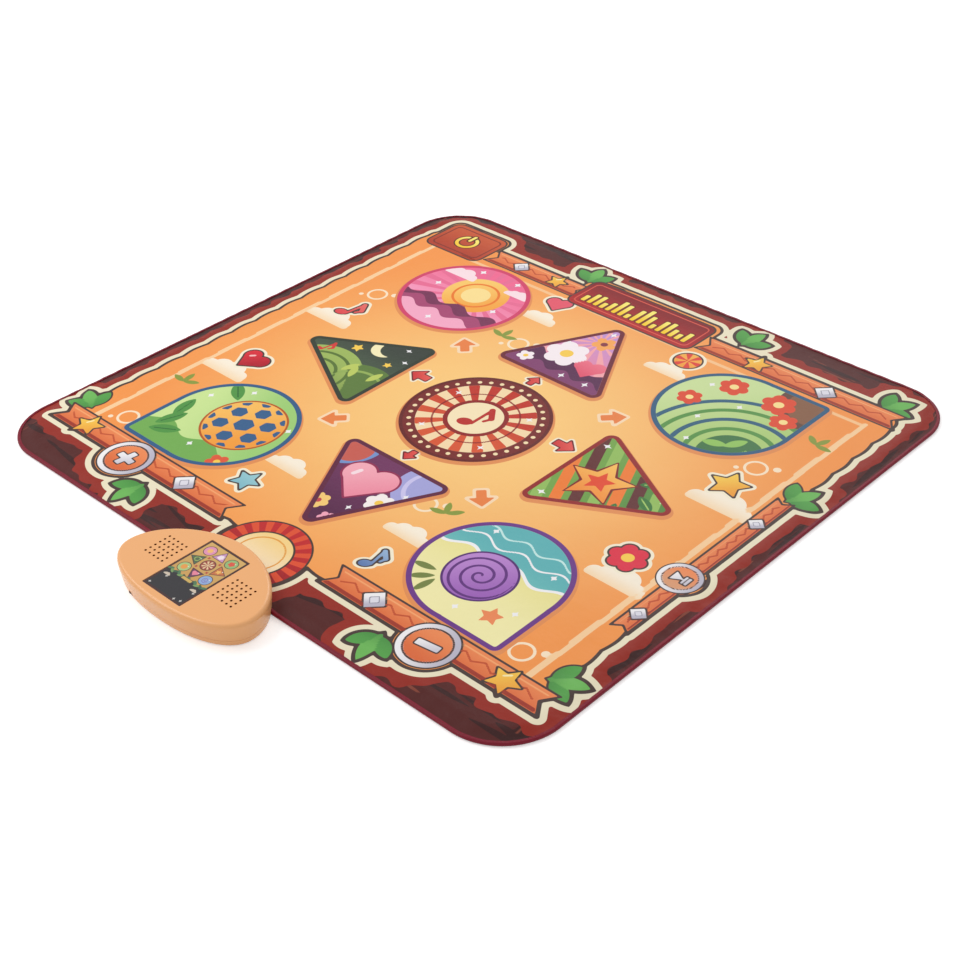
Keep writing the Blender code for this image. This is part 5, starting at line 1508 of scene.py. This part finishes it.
def base_material():
    """Dark woven fabric with raised rubber dots against slipping."""
    colour = srgb("2e2e32")
    made = Finish("base_fabric", colour, 0.9)
    pitch = 1 / DOT_PITCH
    point = made.add("VectorMath", {0: made.point, 1: (pitch, pitch, 0)}, operation="MULTIPLY").outputs[0]
    point = made.add("VectorMath", {0: point}, operation="FRACTION").outputs[0]
    point = made.add("VectorMath", {0: point, 1: (0.5, 0.5, 0)}, operation="SUBTRACT").outputs[0]
    far_off = made.add("VectorMath", {0: point}, operation="LENGTH").outputs["Value"]
    limits = {"Value": far_off, "From Min": 0.27, "From Max": 0.2}
    dot = made.add("MapRange", limits, interpolation_type="SMOOTHSTEP").outputs[0]
    grain = made.grain((*colour, 1), 1800.0, 0.0002)
    raised = made.add("Bump", {"Height": dot, "Distance": 0.0004, "Normal": grain["Normal"]})
    made.set({"Base Color": mixed(made.tree, dot, grain["Color"], (*srgb("404044"), 1))})
    made.set({"Normal": raised.outputs[0]})
    made.roughen(dot, 0.92, 0.6)
    return made.material


def spacer_holes():
    """Low and high corner of the hole under each zone."""
    for name in ZONES:
        low, high, ramp = zone_frame(name)
        inward = min(SPACER_HOLE_IN, 0.6 * ramp)
        yield low + inward, high - inward


def lay_layers():
    """Foam, film, spacer and base, each with its material and between its heights."""
    foam = grained("foam", srgb("ecece6"), 0.9, 0.0, 700, 0.0002).material
    film = grained("film", srgb("d8dee0"), 0.3, 0.0, 300, 0.00002).material
    spacer = grained("spacer", srgb("e4e4e8"), 0.85, 0.0, 500, 0.0001).material
    holes = list(spacer_holes())
    top = SPACER_Z + SPACER_T
    lay_sheet("base", "base_fabric", base_material(), BASE_IN, 0, BASE_TOP)
    lay_sheet("foam", "foam_pad", foam, FOAM_IN, FOAM_Z, FOAM_Z + FOAM_T)
    lay_sheet("film", "circuit_film", film, FILM_IN, FILM_Z, FILM_Z + FILM_T)
    lay_sheet("spacer", "spacer_sheet", spacer, SPACER_IN, SPACER_Z, top, holes)


# Edge binding: a folded tape sewn round the sheets

def edge_path():
    """Points round the mat's outline from the near edge's middle clockwise, seen from above.

    Returns length along it, and place and angle of the outward normal at each point.
    """
    straight_x = MAT_X - CORNER_R
    straight_y = MAT_Y - CORNER_R
    pieces = [np.array([[0, -MAT_Y, 270]])]
    for side_x, side_y, start in [(-1, -1, 270), (-1, 1, 180), (1, 1, 90), (1, -1, 0)]:
        turn = np.linspace(start, start - 90, 61)
        x = side_x * straight_x + CORNER_R * np.cos(np.radians(turn))
        y = side_y * straight_y + CORNER_R * np.sin(np.radians(turn))
        pieces.append(np.column_stack((x, y, turn)))
    pieces.append(np.array([[0, -MAT_Y, -90]]))
    path = np.concatenate(pieces)
    length = np.concatenate(([0], np.cumsum(np.hypot(*np.diff(path[:, :2], axis=0).T))))
    return length, path


PATH_LENGTH, PATH = edge_path()
TAPE_STEP = 0.0025
STITCH_PITCH = 0.0042
STITCH_LENGTH = 0.003
STITCH_R = 0.0003
STITCH_IN = 0.0033


def path_at(length):
    """Place and angle of the outward normal at arrays of lengths along the outline."""
    x, y, turn = (np.interp(length, PATH_LENGTH, PATH[:, axis]) for axis in range(3))
    return x, y, np.radians(turn)


def inside_path(length, depth):
    """Points that far in from the outline."""
    x, y, turn = path_at(length)
    return x - depth * np.cos(turn), y - depth * np.sin(turn)


def tape_top(length):
    """Height of the tape's upper side: it lies on the cover, and ripples a little."""
    ripple = 0.00007 * np.sin(length * 2 * math.pi / 0.0113)
    ripple += 0.0001 * np.sin(length * 2 * math.pi / 0.0271)
    return cover_height(*inside_path(length, TAPE_IN)) + TAPE_T + 0.00015 + ripple


def tape_profile(top):
    """Cross-section as (distance in, height) for an array of heights: outer skin, then inner skin.

    The outer skin runs over the edge in two quarter circles of radius TAPE_R.
    """
    flat = np.zeros_like(top)
    points = [(TAPE_IN, top), (STITCH_IN, top - 0.00012), (STITCH_IN * 0.75, top + 0.00005)]
    for turn in np.linspace(math.pi / 2, math.pi, 6):
        points.append((TAPE_R + TAPE_R * math.cos(turn), top - TAPE_R + TAPE_R * math.sin(turn)))
    for turn in np.linspace(math.pi, 1.5 * math.pi, 6):
        points.append((TAPE_R + TAPE_R * math.cos(turn), flat + TAPE_R + TAPE_R * math.sin(turn)))
    points += [(TAPE_IN, flat), (TAPE_IN, flat + TAPE_T), (TAPE_R, flat + TAPE_T), (TAPE_T, flat + TAPE_R)]
    points += [(TAPE_T, top - TAPE_R), (TAPE_R, top - TAPE_T), (TAPE_IN, top - TAPE_T)]
    depth = np.array([point[0] for point in points])
    return depth, np.stack([point[1] for point in points], 1)


def stitches(start, end):
    """Short capsules along the tape's upper side: rings of a half sine radius along each stitch."""
    centres = np.arange(math.ceil(start / STITCH_PITCH), math.floor(end / STITCH_PITCH)) + 0.5
    along = np.linspace(-0.5, 0.5, 6)
    around = np.radians(np.arange(0, 360, 60))
    length = (centres[:, None] * STITCH_PITCH + along[None, :] * STITCH_LENGTH)[:, :, None]
    radius = STITCH_R * np.cos(along * math.pi * 0.94)[None, :, None]
    depth = STITCH_IN + radius * np.cos(around)
    length, depth = np.broadcast_arrays(length, depth)
    x, y = inside_path(length, depth)
    lift = radius * np.sin(around) * 1.2 - 0.00022 * np.abs(2 * along[None, :, None]) ** 3
    z = tape_top(length) - 0.00008 + lift
    points = np.stack((x, y, np.broadcast_to(z, x.shape)), -1).reshape(-1, 3)
    one = grid_faces(len(along), len(around), wrap=True)
    ring = len(along) * len(around)
    faces = (one[None] + ring * np.arange(len(centres))[:, None, None]).reshape(-1, 4).tolist()
    for first in range(0, ring * len(centres), ring):
        faces.append([first + k for k in range(len(around))])
        faces.append([first + ring - 1 - k for k in range(len(around))])
    return points, faces


def tape_run(name, start, end):
    """The profile carried along the outline between two lengths, closed at both ends, and its stitches."""
    lengths = np.linspace(start, end, max(2, round((end - start) / TAPE_STEP)) + 1)
    depth, height = tape_profile(tape_top(lengths))
    across, along = inside_path(lengths[:, None], depth[None, :])
    points = np.stack((across, along, height), -1).reshape(-1, 3)
    count = len(depth)
    faces = grid_faces(len(lengths), count, wrap=True).tolist()
    faces.append(list(range(count))[::-1])
    faces.append([len(points) - count + k for k in range(count)])
    thread_points, thread_faces = stitches(start, end)
    faces += [[k + len(points) for k in face] for face in thread_faces]
    item = add_mesh(name, np.concatenate((points, thread_points)), faces)
    add_attribute(item, "thread", np.repeat((0.0, 1.0), (len(points), len(thread_points))))
    shape = bmesh.new()
    shape.from_mesh(item.data)
    bmesh.ops.recalc_face_normals(shape, faces=shape.faces)
    shape.to_mesh(item.data)
    shape.free()
    item.data.set_sharp_from_angle(angle=math.radians(50))
    return item


def sew_binding():
    """Maroon satin tape, its thread a little lighter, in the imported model's runs and a strip at each fold."""
    thread = ("thread", srgb("981e3a"))
    tape = grained("binding_tape", srgb("7e0c26"), 0.43, 0.0, 1500.0, 0.0001, 0.12, 0.18, thread)
    tape.set({"Specular IOR Level": 0.28})
    total = PATH_LENGTH[-1]
    middle = MAT_X - CORNER_R + CORNER_R * math.pi / 2 + MAT_Y - CORNER_R
    folds = (-FOLD_HIGH, -FOLD_LOW, FOLD_LOW, FOLD_HIGH)
    ends = [side + fold for side in (middle, total - middle) for fold in folds]
    ends = [-CONSOLE_LEFT, *ends, total - CONSOLE_RIGHT]
    runs = (
        "near_left", "near_left_fold", "middle_left", "far_left_fold", "far",
        "far_right_fold", "middle_right", "near_right_fold", "near_right",
    )
    for run, start, end in zip(runs, ends, ends[1:]):
        item = tape_run(run + "_binding_tape", start, end)
        side = run.split("_")[0]
        if "fold" in run:
            fasten(item, tape.material)
            bridge(item, side)
        else:
            fasten(item, tape.material, side + "_section", run + "_binding")


# Console

# Degrees between two faces above which their edge stays sharp, and the gap that a weld closes
SHELL_SHARP = 32
INSIDE_SHARP = 34
WELD = 0.000002

# Where the walls of the speaker holes and of the switch's slot lie: the plastic there gets painted shade
GRILLE_REACH = 0.026
ROOF_LOW = 0.027
SLOT_REACH = 0.007
SLOT_HALF_H = 0.0016

# Name, colour, roughness, metal, scale and depth of the grain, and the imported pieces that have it
INSIDE = [
    ("screw_steel", "bebec2", 0.3, 1.0, 900, 0.0001, [
        "battery_door_screw", "near_left_screw", "near_right_screw", "far_left_screw", "far_right_screw",
    ]),
    ("board_green", "266e3e", 0.4, 0.0, 300, 0.0001, ["display_board", "main_board"]),
    ("score_dark", "1e1e24", 0.25, 0.0, 300, 0.00001, ["score_display"]),
    ("speaker_metal", "544236", 0.45, 0.6, 500, 0.0001, ["left_speaker_frame", "right_speaker_frame"]),
    ("speaker_paper", "1e1009", 0.85, 0.0, 900, 0.0001, ["left_speaker_cone", "right_speaker_cone"]),
    ("cell_label", "30323a", 0.35, 0.2, 400, 0.0001, ["near_battery", "middle_battery", "far_battery"]),
    ("contact_plate", "d2d0c8", 0.28, 1.0, 700, 0.0001, ["left_battery_contact", "right_battery_contact"]),
    ("switch_dark", "3a1812", 0.5, 0.0, 500, 0.0001, ["switch_body", "switch_knob"]),
    ("tail_amber", "c4843c", 0.35, 0.0, 400, 0.0001, ["circuit_tail"]),
]


def smooth_copy(name, node):
    """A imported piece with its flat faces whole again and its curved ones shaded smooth."""
    mesh = CAD[node].data.copy()
    mesh.name = name
    shape = bmesh.new()
    shape.from_mesh(mesh)
    bmesh.ops.remove_doubles(shape, verts=shape.verts, dist=WELD)
    bmesh.ops.dissolve_limit(shape, angle_limit=math.radians(0.2), verts=shape.verts, edges=shape.edges)
    shape.to_mesh(mesh)
    shape.free()
    item = add_object(name, mesh)
    mesh.shade_smooth()
    mesh.set_sharp_from_angle(angle=math.radians(SHELL_SHARP))
    weighted = item.modifiers.new("flat faces stay flat", "WEIGHTED_NORMAL")
    weighted.keep_sharp = True
    weighted.weight = 80
    return item


def mark_shaded_holes(item):
    """Marks the walls of the speaker holes and of the switch's slot, where the plastic gets painted shade.

    The first are the roof's upright faces within GRILLE_REACH of a speaker's middle, and the second are
    the level faces within SLOT_REACH of the knob's middle and SLOT_HALF_H of its height.
    """
    faces = item.data.polygons
    middles, normals = np.empty((2, 3 * len(faces)))
    faces.foreach_get("center", middles)
    faces.foreach_get("normal", normals)
    x, y, z = middles.reshape(-1, 3).T
    level = np.abs(normals[2::3]) > 0.5
    marked = np.zeros(len(faces))
    for node in ("left_speaker_cone", "right_speaker_cone", "switch_knob"):
        low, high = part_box(node)
        middle = (low + high) / 2
        far_off = np.hypot(x - middle.x, y - middle.y)
        inside = ~level & (z > ROOF_LOW) & (far_off < GRILLE_REACH)
        if node == "switch_knob":
            inside = level & (np.abs(z - middle.z) < SLOT_HALF_H) & (far_off < SLOT_REACH)
        marked[inside] = 1
    # Faces marked here get painted shade in the console's plastic
    add_attribute(item, "hole", marked, "FACE")


def dress_console():
    """Satin plastic with painted shade where hole marks it, and a finish for each piece inside."""
    # Painted shade: hole and slot walls take this darker orange in place of the shade that falls in them
    hole = ("hole", srgb("96481a"))
    plastic = grained("console_plastic", srgb("f7b477"), 0.26, 0.0, 1500, 0.00002, 0.03, 0.06, hole).material
    for half in ("top", "bottom"):
        item = smooth_copy(f"console_{half}_case", f"console_{half}_shell")
        mark_shaded_holes(item)
        fasten(item, plastic, "near_section", f"console_{half}_shell")
    for name, colour, roughness, metallic, scale, depth, nodes in INSIDE:
        material = grained(name, srgb(colour), roughness, metallic, scale, depth).material
        for node in nodes:
            carry_over(node, material)
    carry_over("battery_door", plastic)


def carry_over(node, material):
    """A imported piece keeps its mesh, and gets its material, joined corners and a smooth round side."""
    item = CAD[node]
    paint_with(item, material)
    item.data.shade_smooth()
    item.modifiers.new("joined corners", "WELD").merge_threshold = WELD
    item.modifiers.new("sharp edges", "EDGE_SPLIT").split_angle = math.radians(INSIDE_SHARP)


WINDOW_STEP = 0.00075
WINDOW_TIP = 0.0012
WINDOW_BEVEL = 0.00016


def lay_window():
    """A thin plate with round corners, printed from behind; its rim slopes down by WINDOW_BEVEL.

    Each row of points spans 2 * (half_x - tip + sqrt(tip^2 - over^2)), where over is how far the row
    lies past the start of the corners.
    """
    low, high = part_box("display_window")
    middle = (low + high) / 2
    half_x = (high.x - low.x) / 2
    half_y = (high.y - low.y) / 2
    across = np.linspace(-half_x, half_x, 2 * round(half_x / WINDOW_STEP) + 1)
    along = np.linspace(-half_y, half_y, 2 * round(half_y / WINDOW_STEP) + 1)
    over = np.maximum(np.abs(along) - (half_y - WINDOW_TIP), 0)
    half_row = half_x - WINDOW_TIP + np.sqrt(np.maximum(WINDOW_TIP ** 2 - over ** 2, 0))
    x = across[None, :] * (half_row / half_x)[:, None]
    y = np.broadcast_to(along[:, None], x.shape)
    slope = 1 - smoothstep(0, 0.0007, rounded_box(x, y, half_x, half_y, WINDOW_TIP))
    top = np.stack((x + middle.x, y + middle.y, high.z - WINDOW_BEVEL * slope), -1).reshape(-1, 3)
    index = np.arange(len(top)).reshape(x.shape)
    loop = np.concatenate((index[0, :-1], index[:-1, -1], index[-1, :0:-1], index[:0:-1, 0]))
    rim = top[loop]
    rim[:, 2] = low.z
    ring = len(top) + np.arange(len(loop))
    walls = np.stack((ring, np.roll(ring, -1), np.roll(loop, -1), loop), 1)
    faces = grid_faces(*x.shape).tolist() + walls.tolist() + [ring[::-1].tolist()]
    item = add_mesh("display_window_print", np.concatenate((top, rim)), faces)
    for level, ink in window_print(across, along).attributes().items():
        ink = ink.reshape(-1, 4)
        add_attribute(item, level, np.concatenate((ink, ink[loop])))
    item.data.set_sharp_from_angle(angle=math.radians(50))
    fasten(item, window_material(), "near_section", "display_window")


def main():
    make_studio()
    lay_layers()
    lay_cover()
    sew_binding()
    dress_console()
    lay_window()


main()
